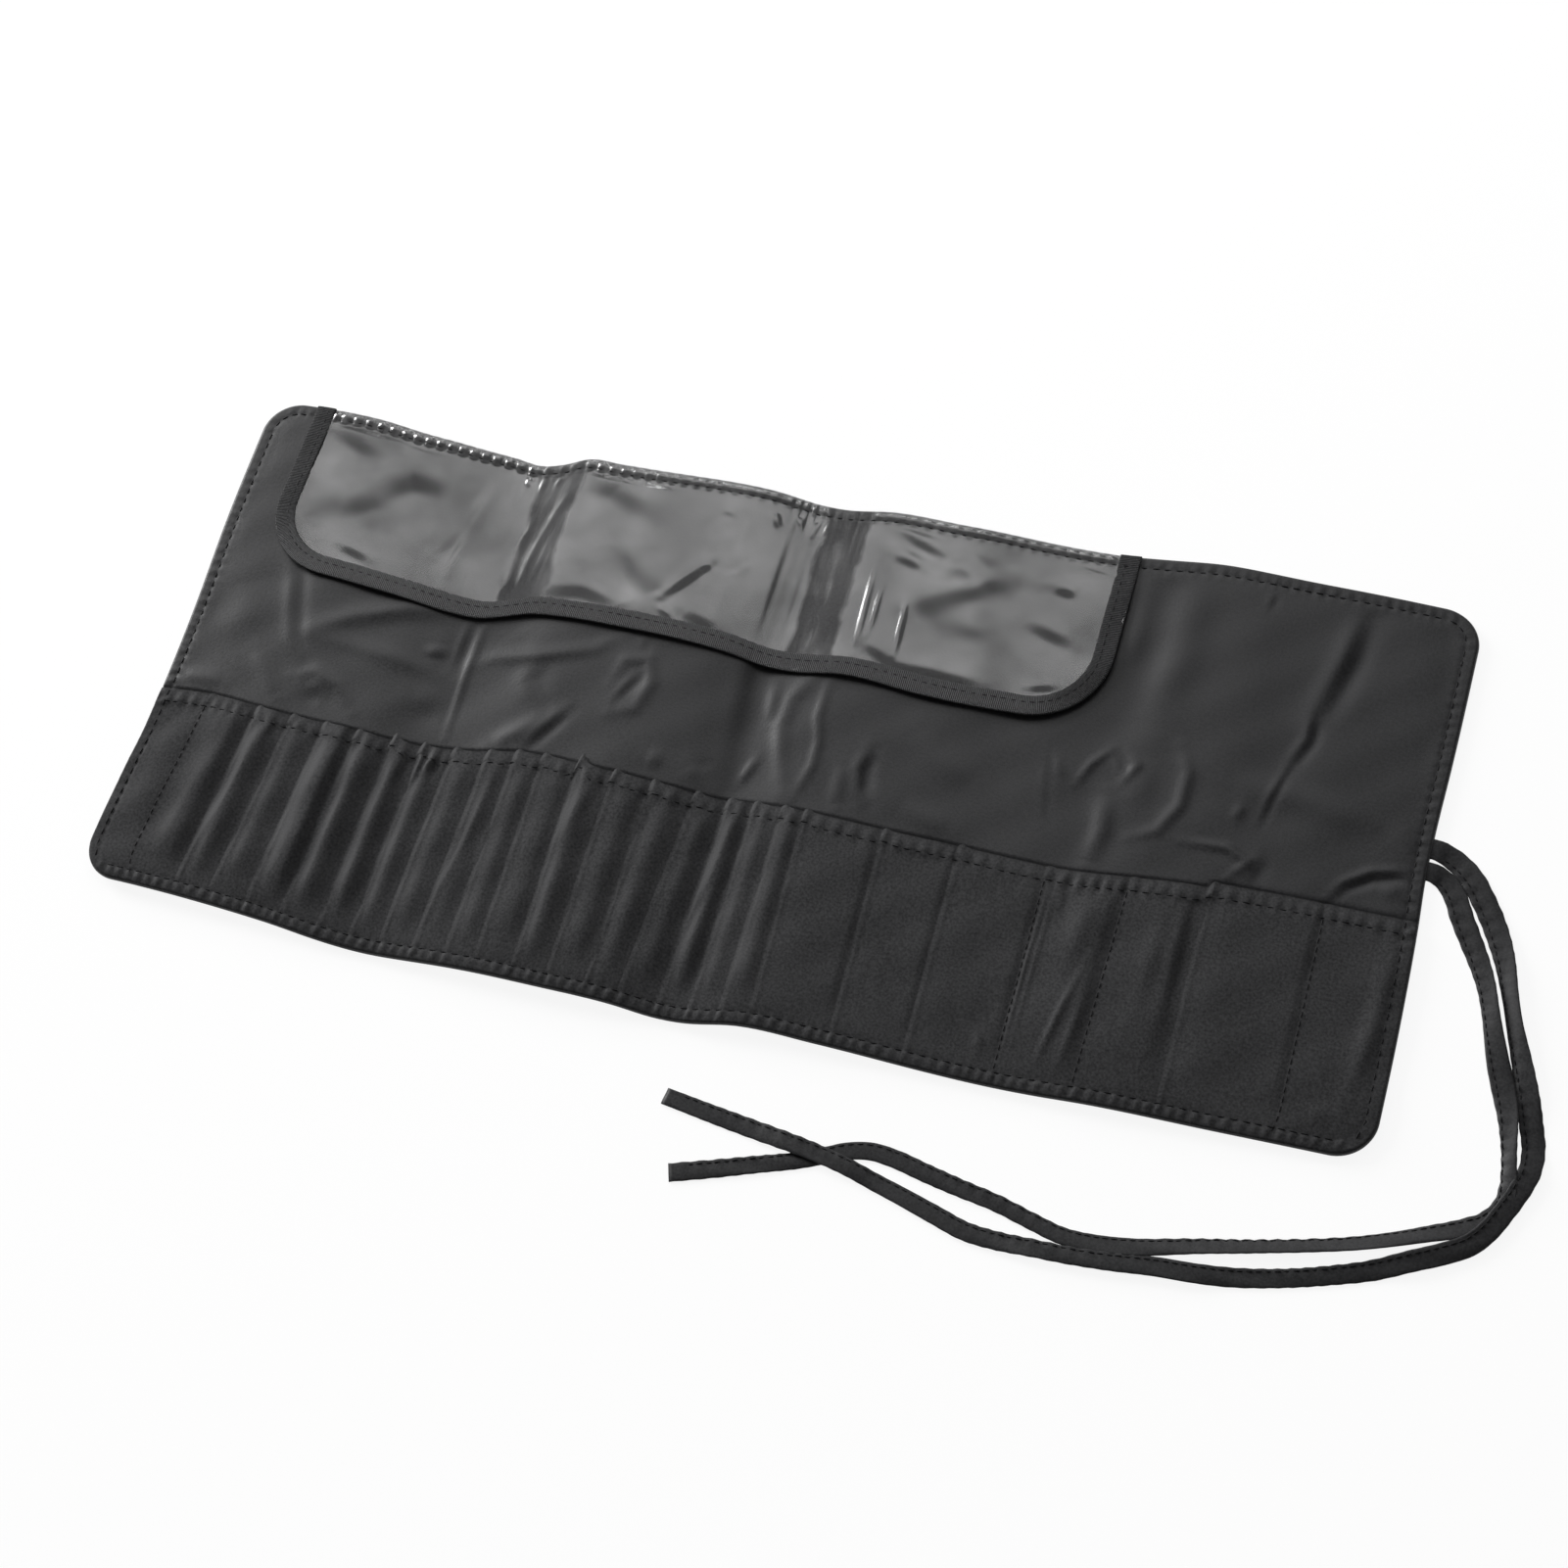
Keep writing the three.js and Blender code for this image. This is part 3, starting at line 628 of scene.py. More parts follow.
felt = Finish("interlining_felt")
fibres = felt.noise(1400, 4)
felt_finish = felt.surface(felt.node("BsdfPrincipled", None, {
    "Base Color": felt.blend(fibres, (0.20, 0.20, 0.20), (0.42, 0.41, 0.40)),
    "Roughness": 0.9,
    "Normal": felt.node("Bump", None, {"Height": fibres, "Strength": 0.6, "Distance": 0.0006}),
}, "BSDF"))
felt_length, felt_depth = HALF_LENGTH - FELT_INSET, HALF_DEPTH - FELT_INSET
felt_parts = sheet_parts(
    "felt",
    spaced(-felt_length, felt_length, FELT_STEP, FELT_RIM_STEPS),
    spaced(-felt_depth, felt_depth, FELT_STEP, FELT_RIM_STEPS),
    lay_felt, FELT_THICKNESS, felt_finish, PART_ENDS,
)
dress_panels(
    felt_parts, "interlining"
)


# Lining: a smooth dark cloth over the felt, turned in and topstitched to the cover 5 mm from the
# rim. It carries the dents and soft creases of a case that was shipped folded flat.
LINING_THICKNESS, LINING_STEP = 0.5, 1.25
LINING_SEAM_DEPTH, LINING_PUCKER, LINING_LOWEST = 0.16, 0.24, -1.0
RIDGE_SHARE, SLOPE_SHARE, RIPPLE_SHARE = 1.2, 1.3, 1.5
LINING_RIDGES = [
    ([(-197, 8), (-180, 18), (-160, 26), (-140, 29)], 4.0, 0.8),
    ([(-194, 7), (-160, 4), (-130, 0)], 4.0, 0.5),
    ([(-143, 14), (-142, 7)], 4.0, 0.7),
    ([(-127, 30), (-127.5, 5), (-126.5, -26)], 1.3, 0.5),
    ([(-126, 8), (-118, 13), (-100, 17), (-80, 24), (-70, 33)], 3.2, 0.7),
    ([(-88, -7), (-97, -16), (-108, -25)], 4.0, 0.8),
    ([(-69, 10), (-66, 22), (-57, 24), (-53, 14), (-56, 2), (-66, -2)], 2.6, 0.6),
    ([(-46, -17), (-38, -17)], 4.0, 0.5),
    ([(-245, -21), (-222, -22)], 3.5, 0.5),
    ([(-196, -13), (-186, -9), (-176, -13), (-166, -23)], 3.0, 0.6),
    ([(-230, 25), (-224, 10), (-230, -5)], 9.0, 0.5),
    ([(-215, -5), (-206, -14), (-198, -23)], 4.0, 0.5),
    ([(9, 34), (2, 20), (1, 8), (5, -6), (10, -20)], 3.4, 0.8),
    ([(14.5, 35), (14.5, 14), (17.5, 4), (18, -6), (14, -22)], 1.9, 0.6),
    ([(-4, -6), (-8, -19)], 1.8, 0.6),
    ([(-6, 26), (-4, 8)], 2.4, 0.5),
    ([(29, -3), (31, -21)], 3.0, 0.6),
    ([(52, 18), (62, 8), (80, 0)], 6.0, 0.5),
    ([(54, -15), (76, -20)], 5.0, 0.5),
    ([(106, 19), (111, 10)], 1.3, 0.35),
    ([(116, 8), (120, 18), (127, 27)], 1.6, 0.55),
    ([(132, 26), (137, 21), (133, 12)], 1.8, 0.6),
    ([(128, 8), (130, -8), (128, -23)], 3.8, 1.0),
    ([(151, 33), (156, 22), (156, 8), (150, -4), (140, -9)], 2.4, 0.7),
    ([(160, -6), (177, -5), (185, -9), (179, -17)], 1.6, 0.7),
    ([(178, 14), (177, 6)], 1.8, 0.4),
    ([(170, 22), (205, 20), (235, 14)], 6.0, 0.6),
    ([(233, -9), (243, -8)], 3.0, 0.4),
]
LINING_SLOPES = [
    ([(-216, 42), (-209, 29), (-205, 16), (-200, 3), (-194, -5)], 3.6, 0.22, (1, 0.2)),
    ([(-132.5, 28), (-133, 4)], 2.0, 0.30, (1, 0)),
    ([(-122, 34), (-112, 24)], 6.0, 0.14, (0.8, -0.6)),
    ([(-98, 14), (-100, 6), (-94, -2)], 5.0, 0.14, (1, 0)),
    ([(-81, -3), (-86, -11), (-94, -24)], 2.8, 0.28, (1, -0.5)),
    ([(-58, 18), (-62, 10), (-65, 3)], 2.4, 0.30, (1, 0)),
    ([(-17, 110), (-17, 60), (-17, 30), (-14.5, 0), (-13, -22)], 6.0, 0.20, (1, 0)),
    ([(-27, -15), (-22, -19)], 4.0, 0.14, (1, 0)),
    ([(-189, -18), (-180, -18)], 4.5, 0.16, (0.6, -0.8)),
    ([(-145, -15), (-132, -13)], 6.0, 0.14, (1, -0.4)),
    ([(-61, 34), (-60, 27)], 2.0, 0.14, (1, 0)),
    ([(38.5, 5), (37, -4), (39, -12), (42, -17)], 3.2, 0.40, (1, 0)),
    ([(103, 22), (106, 4), (109, -11)], 1.8, 0.14, (1, 0)),
    ([(128, 24), (134, 15)], 1.7, 0.26, (1, 0.4)),
    ([(144, 26), (143, 2)], 7.0, 0.10, (1, 0)),
    ([(190, -5), (187, -17)], 3.4, 0.16, (1, 0)),
    ([(208, 103), (205, 82), (201, 66), (197, 52)], 5.0, 0.30, (1, 0)),
    ([(197, 56), (197, 45), (192, 32)], 2.6, 0.38, (1, 0)),
    ([(192, 33), (188, 18), (186, 7)], 1.7, 0.40, (1, 0)),
    ([(216, -18), (221, -10), (230, -4), (238, -2), (248, -2)], 2.3, 0.55, (0.3, -1)),
    ([(172, 104), (171, 96)], 1.8, 0.2, (1, 0)),
    ([(244, 16), (245, 4)], 2.5, 0.2, (1, 0)),
    ([(122, 100), (121, 60)], 5.0, 0.12, (-1, 0)),
    ([(137, 110), (137, 70), (133, 35)], 9.0, 0.17, (-1, 0)),
]
MOUTH = [
    (-250, -28.6), (-225, -27.2), (-200, -28.0), (-160, -26.0), (-130, -24.6), (-110, -23.4),
    (-95, -21.6), (-60, -22.6), (-20, -23.6), (0, -22.2), (20, -24.2), (50, -24.4), (80, -23.8),
    (130, -24.6), (145, -24.2), (174, -22.6), (215, -21.9), (250, -21.7),
]
MOUTH_STEP, MOUTH_STEP_AT, MOUTH_STEP_RUN = 2.2, 173.0, 2.4
MOUTH_DENT, MOUTH_BAND = 0.5, np.arange(-31, -18, 0.5)


def mouth_line(x):
    """Where the pockets' mouth lies, in y; the taut hem presses a fine dent in the lining."""
    return drawn(MOUTH, x) + MOUTH_STEP * smooth((x - MOUTH_STEP_AT) / MOUTH_STEP_RUN)


def lining_height(x, y):
    """The lining's upper face above the table, before the case settles."""
    inside = inside_rim(x, y)
    z = PANEL_MIDDLE + PANEL_HALF_THICKNESS * rim_round(inside)
    z -= LINING_SEAM_DEPTH * hump(inside - SEAM_INSET, SEAM_GROOVE)
    z += LINING_PUCKER * rim_puckers(x, y) * hump(inside - SEAM_INSET + 0.8, 2.4)
    lies = y + sway(x, y)
    dents = RIDGE_SHARE * sum(crease(x, lies, *each) for each in LINING_RIDGES)
    dents += SLOPE_SHARE * sum(slope(x, lies, *each) for each in LINING_SLOPES)
    dents = np.maximum(dents + RIPPLE_SHARE * ripple(x, y), LINING_LOWEST)
    z -= MOUTH_DENT * hump(y - mouth_line(x) - 0.3, 0.8)
    return z + dents * smooth((inside - SEAM_INSET) / 7)


def lay_lining(column, row):
    x = round_ends(column, row, 0)
    return settle(x, row, lining_height(x, row))


lining_finish = cloth_finish(
    "lining_cloth", (0.012, 0.012, 0.013), (0.034, 0.034, 0.036), 0.48, 0.32
)
lining_parts = sheet_parts(
    "lining_cloth",
    spaced(-HALF_LENGTH, HALF_LENGTH, LINING_STEP, RIM_STEPS),
    np.union1d(spaced(-HALF_DEPTH, HALF_DEPTH, LINING_STEP, RIM_STEPS), MOUTH_BAND),
    lay_lining, LINING_THICKNESS, lining_finish, PART_ENDS,
)
dress_panels(
    lining_parts, "lining"
)


# Pocket panel: one cloth over the lower part of the lining, its mouth folded to a 6.5 mm hem and
# the rest sewn down along 25 seams into 24 slots. Each seam pinches a fine tuck on its right side.
SEAMS = [
    (-225.2, -230.8), (-203.6, -209.0), (-188.8, -194.5), (-174.9, -178.6), (-160.9, -163.8),
    (-146.1, -148.0), (-134.0, -135.0), (-121.0, -122.6), (-107.0, -109.0), (-95.9, -96.0),
    (-84.8, -83.6), (-70.2, -68.6), (-55.4, -55.0), (-39.8, -39.8), (-22.5, -27.2),
    (-9.8, -12.0), (0.6, 0.0), (11.8, 11.8), (20.7, 23.5), (51.6, 53.9), (80.6, 81.5),
    (114.5, 114.5), (145.4, 142.9), (174.2, 173.8), (215.9, 215.9),
]
FLAT_SEAMS = (1, 22, 23, 25)
SLOT_SHAPES = [
    (0, 0.5), (2.2, 0.66), (2.6, 0.30), (1.3, 0.30), (2.8, 0.64), (3.4, 0.20), (3.1, 0.18),
    (2.0, 0.25), (1.0, 0.40), (1.0, 0.40), (1.0, 0.50), (1.0, 0.60), (2.6, 0.20), (1.3, 0.50),
    (1.6, 0.40), (1.4, 0.40), (2.4, 0.45), (1.1, 0.40), (1.2, 0.45), (0.6, 0.88), (0.5, 0.88),
    (0.5, 0.90), (1.3, 0.80), (1.3, 0.70), (0.6, 0.90), (0, 0.5),
]
SEAM_PEAKS = [
    0, 0.6, 1.0, 1.2, 1.0, 1.2, 3.6, 2.2, 1.8, 1.4, 1.4, 1.6, 4.8, 1.8, 1.6, 2.0, 1.6, 1.6, 1.4,
    1.6, 1.0, 1.2, 0.6, 0.5, 0.6, 0.3,
]
POCKET_INSET, HEM, HEM_STITCH = 0.6, 6.5, 5.7
FOOT_STITCH = SEAM_INSET - POCKET_INSET
POCKET_CLOTH, POCKET_LOFT, POCKET_LOWEST, POCKET_DEPTH = 0.45, 0.3, -0.25, 90.0
TUCK_HEIGHT, TUCK_MIDDLE, TUCK_WIDTH, SEAM_PULL = 0.17, 1.3, 1.0, 0.15
HEM_RAISED, HEM_PULL, HEM_GATHER, MOUTH_DROP, PEAK_RAISED = 0.2, 0.15, 0.36, 0.5, 0.1
RUFFLE_MIDDLE, RUFFLE_HALF, RUFFLE_HEIGHT = -128.5, 6.0, 0.9
RIM_PULL, RIM_PUCKER, RIM_PUCKER_INSET, POCKET_RIPPLE = 0.25, 0.4, 3.2, 2.6
MOUTH_STEPS = np.array([
    0, 0.2, 0.6, 1.2, 2.0, 3.0, 4.0, 4.8, 5.3, 5.7, 6.1, 6.6, 7.4, 8.6, 10.5,
])
FOOT_STEPS = np.array([0, 0.2, 0.5, 1.0, 1.8, 2.6, 3.3, 4.0, 4.4, 4.8, 5.8, 8.5, 11.5])
POCKET_ROWS = 34
TUCK_STEPS, PULL_STEPS = np.array([0, 0.3, 0.6, 0.9, 1.2, 1.6, 2.2, 3.0]), [1.5, 0.9, 0.4]
POCKET_COLUMN = 0.8
POCKET_END = HALF_LENGTH - POCKET_INSET
SLOT_TOPS = np.array([-POCKET_END, *(top for top, foot in SEAMS), POCKET_END])
SLOT_FEET = np.array([-POCKET_END, *(foot for top, foot in SEAMS), POCKET_END])


def pocket_columns():
    """Column places counted in slots: 0 at the left edge, then one for each seam."""
    places = []
    for number, width in enumerate(np.diff(SLOT_TOPS)):
        pull = width - np.array(PULL_STEPS)
        count = int((pull[0] - TUCK_STEPS[-1]) / POCKET_COLUMN)
        middle = np.linspace(TUCK_STEPS[-1], pull[0], count)
        across = np.concatenate([TUCK_STEPS, middle[1:-1], pull])
        places.append(number + across / width)
    return np.concatenate(places + [[float(len(SLOT_TOPS) - 1)]])


def slot_at(column):
    """The slot that a column lies in, the share across it, its width, mouth and depth."""
    slot = np.clip(np.floor(column).astype(int), 0, len(SEAMS))
    across = column - slot
    width = SLOT_TOPS[slot + 1] - SLOT_TOPS[slot]
    from_seam = across * width
    top = SLOT_TOPS[slot] + from_seam
    off = from_seam - TUCK_MIDDLE
    peak = np.array(SEAM_PEAKS)[slot] * (0.6 * hump(off, 1.5) + 0.3 * hump(off, 4))
    mouth = mouth_line(top) + peak
    return slot, across, width, mouth, mouth + HALF_DEPTH - POCKET_INSET


def row_depth(row, down):
    """How far below the mouth each row of the pocket cloth lies."""
    k = np.rint(row).astype(int)
    last = len(MOUTH_STEPS) + POCKET_ROWS + len(FOOT_STEPS) - 1
    free = down - MOUTH_STEPS[-1] - FOOT_STEPS[-1]
    middle = MOUTH_STEPS[-1] + free * (k - len(MOUTH_STEPS) + 1) / (POCKET_ROWS + 1)
    near = MOUTH_STEPS[np.clip(k, 0, len(MOUTH_STEPS) - 1)]
    far = down - FOOT_STEPS[np.clip(last - k, 0, len(FOOT_STEPS) - 1)]
    below_hem = np.where(k <= last - len(FOOT_STEPS), middle, far)
    return np.where(k < len(MOUTH_STEPS), near, below_hem)


POCKET_RIDGES = [
    ([(-203, -38), (-200, -55), (-203, -75), (-208, -104)], 1.5, 0.4),
    ([(-213, -50), (-217, -80), (-220, -104)], 3.0, 0.35),
    ([(-171, -45), (-174, -70), (-178, -95)], 2.6, 0.3),
    ([(-100, -33), (-103, -65), (-108, -104)], 1.3, 0.4),
    ([(-126, -30), (-130, -42)], 1.4, 1.7),
    ([(-130.5, -30), (-133, -46)], 1.3, 1.5),
    ([(-66, -34), (-67, -55), (-70, -80)], 2.4, 0.3),
    ([(117, -30), (116, -65), (116, -104)], 0.8, 0.4),
    ([(119.8, -30), (118.6, -65), (118.4, -104)], 0.8, 0.4),
    ([(135, -34), (132, -48), (131, -66)], 5.0, 1.2),
    ([(138, -58), (133, -80), (129, -104)], 1.3, 0.5),
    ([(134, -72), (128, -103)], 1.2, 0.4),
    ([(140, -75), (136, -104)], 1.4, 0.4),
    ([(161, -30), (160, -50), (158, -78)], 3.6, 0.6),
    ([(242, -32), (241, -60), (237, -92)], 3.4, 1.1),
    ([(224, -100), (234, -97)], 3.0, 0.5),
    ([(106, -96), (108, -106)], 2.0, 0.5),
    ([(60, -88), (75, -94)], 6.0, 0.4),
    ([(95, -88), (106, -84)], 6.0, 0.4),
    ([(-231, -34), (-234, -60), (-237, -98)], 9.0, 1.3),
]
POCKET_SLOPES = [
    ([(-194, -33), (-195.5, -44)], 1.8, 0.4, (1, 0)),
    ([(-157, -42), (-160, -60), (-164, -88)], 2.6, 0.2, (1, 0)),
    ([(-61, -36), (-64, -55)], 3.0, 0.2, (1, 0)),
    ([(-4, -32), (-6, -60), (-11, -90)], 1.8, 0.3, (1, 0)),
    ([(123, -36), (124, -44)], 2.4, 0.3, (1, 0)),
    ([(169, -28), (169, -76)], 3.0, 0.34, (1, 0)),
    ([(-137.5, -36), (-140, -50)], 2.4, 0.25, (1, 0)),
]


def gathers(x):
    """How strongly the hem is gathered along its length."""
    return 0.8 + 0.9 * hump(x - 128, 18)


def on_pockets(column, depth):
    """A place on the pocket cloth's upper face, by column and depth below its mouth."""
    slot, across, width, mouth, down = slot_at(column)
    feet = SLOT_FEET[slot] + across * (SLOT_FEET[slot + 1] - SLOT_FEET[slot])
    x = SLOT_TOPS[slot] + across * width
    y = mouth - depth
    x = round_ends(x + (feet - x) * np.clip(depth / down, 0, 1), y, POCKET_INSET)
    from_seam, above_foot, inside = across * width, down - depth, inside_rim(x, y)
    off, sewn = from_seam - TUCK_MIDDLE, slot >= 1
    shoulder, turn = np.array(SLOT_SHAPES)[slot].T
    flat = np.isin(slot, FLAT_SEAMS)
    loose = smooth((above_foot - FOOT_STITCH) / 20) * (0.55 + 0.45 * smooth((depth - 3) / 12))
    rise = 1 - hump(from_seam, np.where(flat, 12.0, np.minimum(6.0, 0.33 * width)))
    height = shoulder * loose * rise * (1 - smooth((across - turn) / (1 - turn)))
    tuck = np.where(flat, 0.0, TUCK_HEIGHT) * sewn * smooth((above_foot - 1.5) / 5)
    height += tuck * hump(off, TUCK_WIDTH)
    height -= SEAM_PULL * hump(width - from_seam, 0.5) * (slot < len(SEAMS))
    height += 0.05 * puckers(depth * 0.4 + slot) * hump(from_seam - 1.0, 1.2) * sewn
    height += HEM_RAISED * np.clip((HEM - depth) / 0.5 + 0.5, 0, 1)
    height -= HEM_PULL * hump(depth - HEM_STITCH, 0.4)
    height += HEM_GATHER * gathers(x) * puckers(x * 0.8) * hump(depth - 4.4, 3.2)
    ruffle = np.sin((x - RUFFLE_MIDDLE) * 1.15 + 0.4 * depth / RUFFLE_HALF)
    ruffle *= hump(x - RUFFLE_MIDDLE, RUFFLE_HALF) * hump(depth - 6, 5)
    height += RUFFLE_HEIGHT * ruffle
    height += PEAK_RAISED * np.array(SEAM_PEAKS)[slot] * hump(off, 1.4) * hump(depth, 3.0)
    height -= MOUTH_DROP * (1 - smooth(depth / 4))
    height -= RIM_PULL * hump(inside - SEAM_INSET, 0.5)
    height += RIM_PUCKER * rim_puckers(x, y) * hump(inside - RIM_PUCKER_INSET, 2.0)
    lies = y + sway(x, y)
    dents = POCKET_RIPPLE * ripple(x, y)
    dents += sum(crease(x, lies, *each) for each in POCKET_RIDGES)
    dents += sum(slope(x, lies, *each) for each in POCKET_SLOPES)
    height += dents * smooth((above_foot - FOOT_STITCH) / 6) * smooth((depth - 4) / 5)
    lining = PANEL_MIDDLE + PANEL_HALF_THICKNESS * rim_round(inside)
    lowest = lining + POCKET_LOFT * smooth(above_foot / 2.5) + POCKET_CLOTH
    return x, y, lowest + np.maximum(height, POCKET_LOWEST - 0.3 * hump(depth, 2))


def lay_pockets(column, row):
    return settle(*on_pockets(column, row_depth(row, slot_at(column)[4])))


pocket_finish = cloth_finish(
    "pocket_cloth", (0.023, 0.023, 0.024), (0.067, 0.067, 0.069), 0.5, 0.05
)
pocket_parts = sheet_parts(
    "pocket_cloth", pocket_columns(),
    np.arange(len(MOUTH_STEPS) + POCKET_ROWS + len(FOOT_STEPS), dtype=float)[::-1],
    lay_pockets, POCKET_CLOTH, pocket_finish, PART_ENDS,
)
dress_panels(
    pocket_parts, "pockets"
)


# Clear flap: a sheet of soft vinyl sewn flat along the far edge and lying loose over the lining.
# It bends at its seam, keeps dents and folds from packing, and mirrors the softbox in patches,
# partly from its dents and partly painted: noise clouds paint brighter and darker reflection, and
# painted shade dims its two folded strips.
FLAP_LEFT, FLAP_RIGHT, FLAP_TOP, FLAP_FREE, FLAP_CORNER = -229.0, 118.0, 110.4, 34.5, 30.0
FLAP_HINGE, FLAP_BEND_END, FLAP_SEAM = 105.0, 98.0, 105.6
VINYL_THICKNESS, VINYL_SEAT = 0.35, 3.45
VINYL_STEP_UP, VINYL_RISE, VINYL_END_RISE, VINYL_SWELL = 0.3, 0.85, 0.8, 0.30
VINYL_COLUMNS, VINYL_ROWS, VINYL_RIM_ROWS = 440, 80, 26
VINYL_SIGHT = (-1.5, 2.5)
RIM_DOME_PITCH, RIM_DOME_MIDDLE, RIM_DOME_HALF = 5.3, 106.9, 3.2
RIM_SHAPE = [(FLAP_SEAM, 0), (107.9, 0.42), (109.1, 0), (FLAP_TOP, 0.3)]
VINYL_CLEARANCE, VINYL_SOFT_REST = 0.42, 0.3
FOLDED_STRIPS, FOLDED_HALF, FOLDED_DEPTH = (-118.0, 3.0), 9.0, 0.3
BUNCHED, BUNCHED_HEIGHT = [(-126, 9), (-14, 10)], 0.36
FLAP_BREAKS = [-300.0] + FOLD_LINES[:5] + [300.0]
FLAP_SWAY = [
    (-231, 0), (-180, 0.6), (-160, 0.4), (-133, 0), (-115, 3.0), (-100, 3.8), (-60, 3.2),
    (-30, 1.8), (-12, 0.8), (0, 0.8), (20, 0.5), (60, -1.2), (90, 0), (118, 0),
]
VINYL_RIDGES = [
    ([(-112, 97), (-116, 84), (-119, 66), (-121, 44)], 1.2, 0.80),
    ([(-143, 98), (-148, 72), (-151, 40)], 2.8, 0.75),
    ([(-17, 96), (-17, 66), (-17, 38)], 1.3, 0.35),
    ([(17, 88), (18, 66), (19, 44)], 1.3, 0.85),
    ([(22, 80), (22.5, 54)], 1.1, 0.78),
    ([(33, 74), (34.5, 48)], 1.2, 0.9),
    ([(-133, 101), (-131, 92)], 1.2, 0.9),
    ([(-125, 101), (-126, 93)], 1.1, 0.8),
    ([(-118, 102), (-121, 95)], 1.0, 0.6),
    ([(-29, 101), (-25, 94)], 1.4, 0.9),
    ([(-20, 103), (-17, 97)], 1.1, 0.7),
    ([(-12, 102), (-12, 92)], 1.1, 0.8),
    ([(-6, 102), (-8, 95)], 1.1, 0.6),
    ([(-62, 47), (-55, 43)], 1.6, 0.5),
    ([(-112, 98), (-92, 92), (-70, 82)], 12.0, 1.0),
    ([(36, 68), (58, 80), (80, 88)], 12.0, 0.8),
    ([(-48.6, 70.6), (-47.4, 68.8)], 1.3, 0.62),
]
VINYL_SLOPES = [
    ([(6, 102), (7, 80), (6, 60), (5, 38)], 4.4, 0.34, (1, 0)),
    ([(-20, 96), (-20, 66), (-20, 40)], 2.6, 0.24, (1, 0)),
    ([(-11, 90), (-11, 40)], 2.0, 0.30, (1, 0)),
    ([(-228, 104), (-208, 97), (-190, 89)], 9.5, 0.27, (0, -1)),
    ([(-197, 102), (-184, 98)], 3.2, 0.22, (0, -1)),
    ([(-206, 69), (-192, 75), (-178, 83), (-160, 83)], 11.0, 0.24, (0, -1)),
    ([(-206, 66), (-194, 66), (-180, 70)], 8.0, 0.14, (0, -1)),
    ([(-222, 71), (-216, 61)], 2.4, 0.24, (0.5, -1)),
    ([(-198, 49), (-184, 44)], 3.2, 0.24, (0, -1)),
    ([(-150, 70), (-158, 52)], 3.4, 0.18, (0.5, -1)),
    ([(-114, 101), (-95, 97), (-72, 85)], 11.0, 0.26, (0, -1)),
    ([(-114, 43), (-94, 46), (-70, 41)], 6.0, 0.22, (0, -1)),
    ([(-89, 75), (-80, 64), (-68, 48)], 10.0, 0.24, (-0.8, -0.6)),
    ([(-38, 103), (-28, 103)], 2.0, 0.28, (0, -1)),
    ([(-49, 97), (-44, 94)], 2.2, 0.26, (0, -1)),
    ([(-47, 71), (-53, 62), (-61, 50)], 2.8, 0.50, (0.7, -1)),
    ([(-52, 46), (-36, 42)], 4.4, 0.20, (0, -1)),
    ([(-36, 74), (-34, 70)], 4.0, 0.16, (0, -1)),
    ([(17, 105), (30, 99), (46, 94)], 4.0, 0.28, (0, -1)),
    ([(23, 91), (36, 87)], 3.4, 0.30, (0, -1)),
    ([(48, 98), (62, 88)], 4.5, 0.26, (0, -1)),
    ([(33, 68), (43, 73), (58, 82), (72, 90), (80, 90)], 8.5, 0.32, (0, -1)),
    ([(40, 64), (54, 66), (72, 64)], 8.0, 0.14, (0, -1)),
    ([(87, 91), (97, 88)], 4.0, 0.32, (0, -1)),
    ([(78, 74), (102, 66)], 5.4, 0.22, (0, -1)),
    ([(21, 50), (36, 44)], 4.2, 0.26, (0, -1)),
    ([(28, 43), (50, 44), (72, 43)], 4.2, 0.26, (0, -1)),
    ([(88, 45), (99, 48)], 2.4, 0.28, (0, -1)),
    ([(92, 104), (108, 101)], 2.0, 0.30, (0, -1)),
]


def vinyl_level(x, y):
    """The vinyl's upper face without its dents: seated at its seam, rising to its free edge."""
    out = np.clip((FLAP_HINGE - y) / (FLAP_HINGE - FLAP_FREE), 0, 1)
    z = VINYL_SEAT + VINYL_STEP_UP * smooth((FLAP_SEAM - y) / 11) + VINYL_RISE * out
    return z + VINYL_END_RISE * smooth((x - 40) / 78) * smooth(out * 1.5)


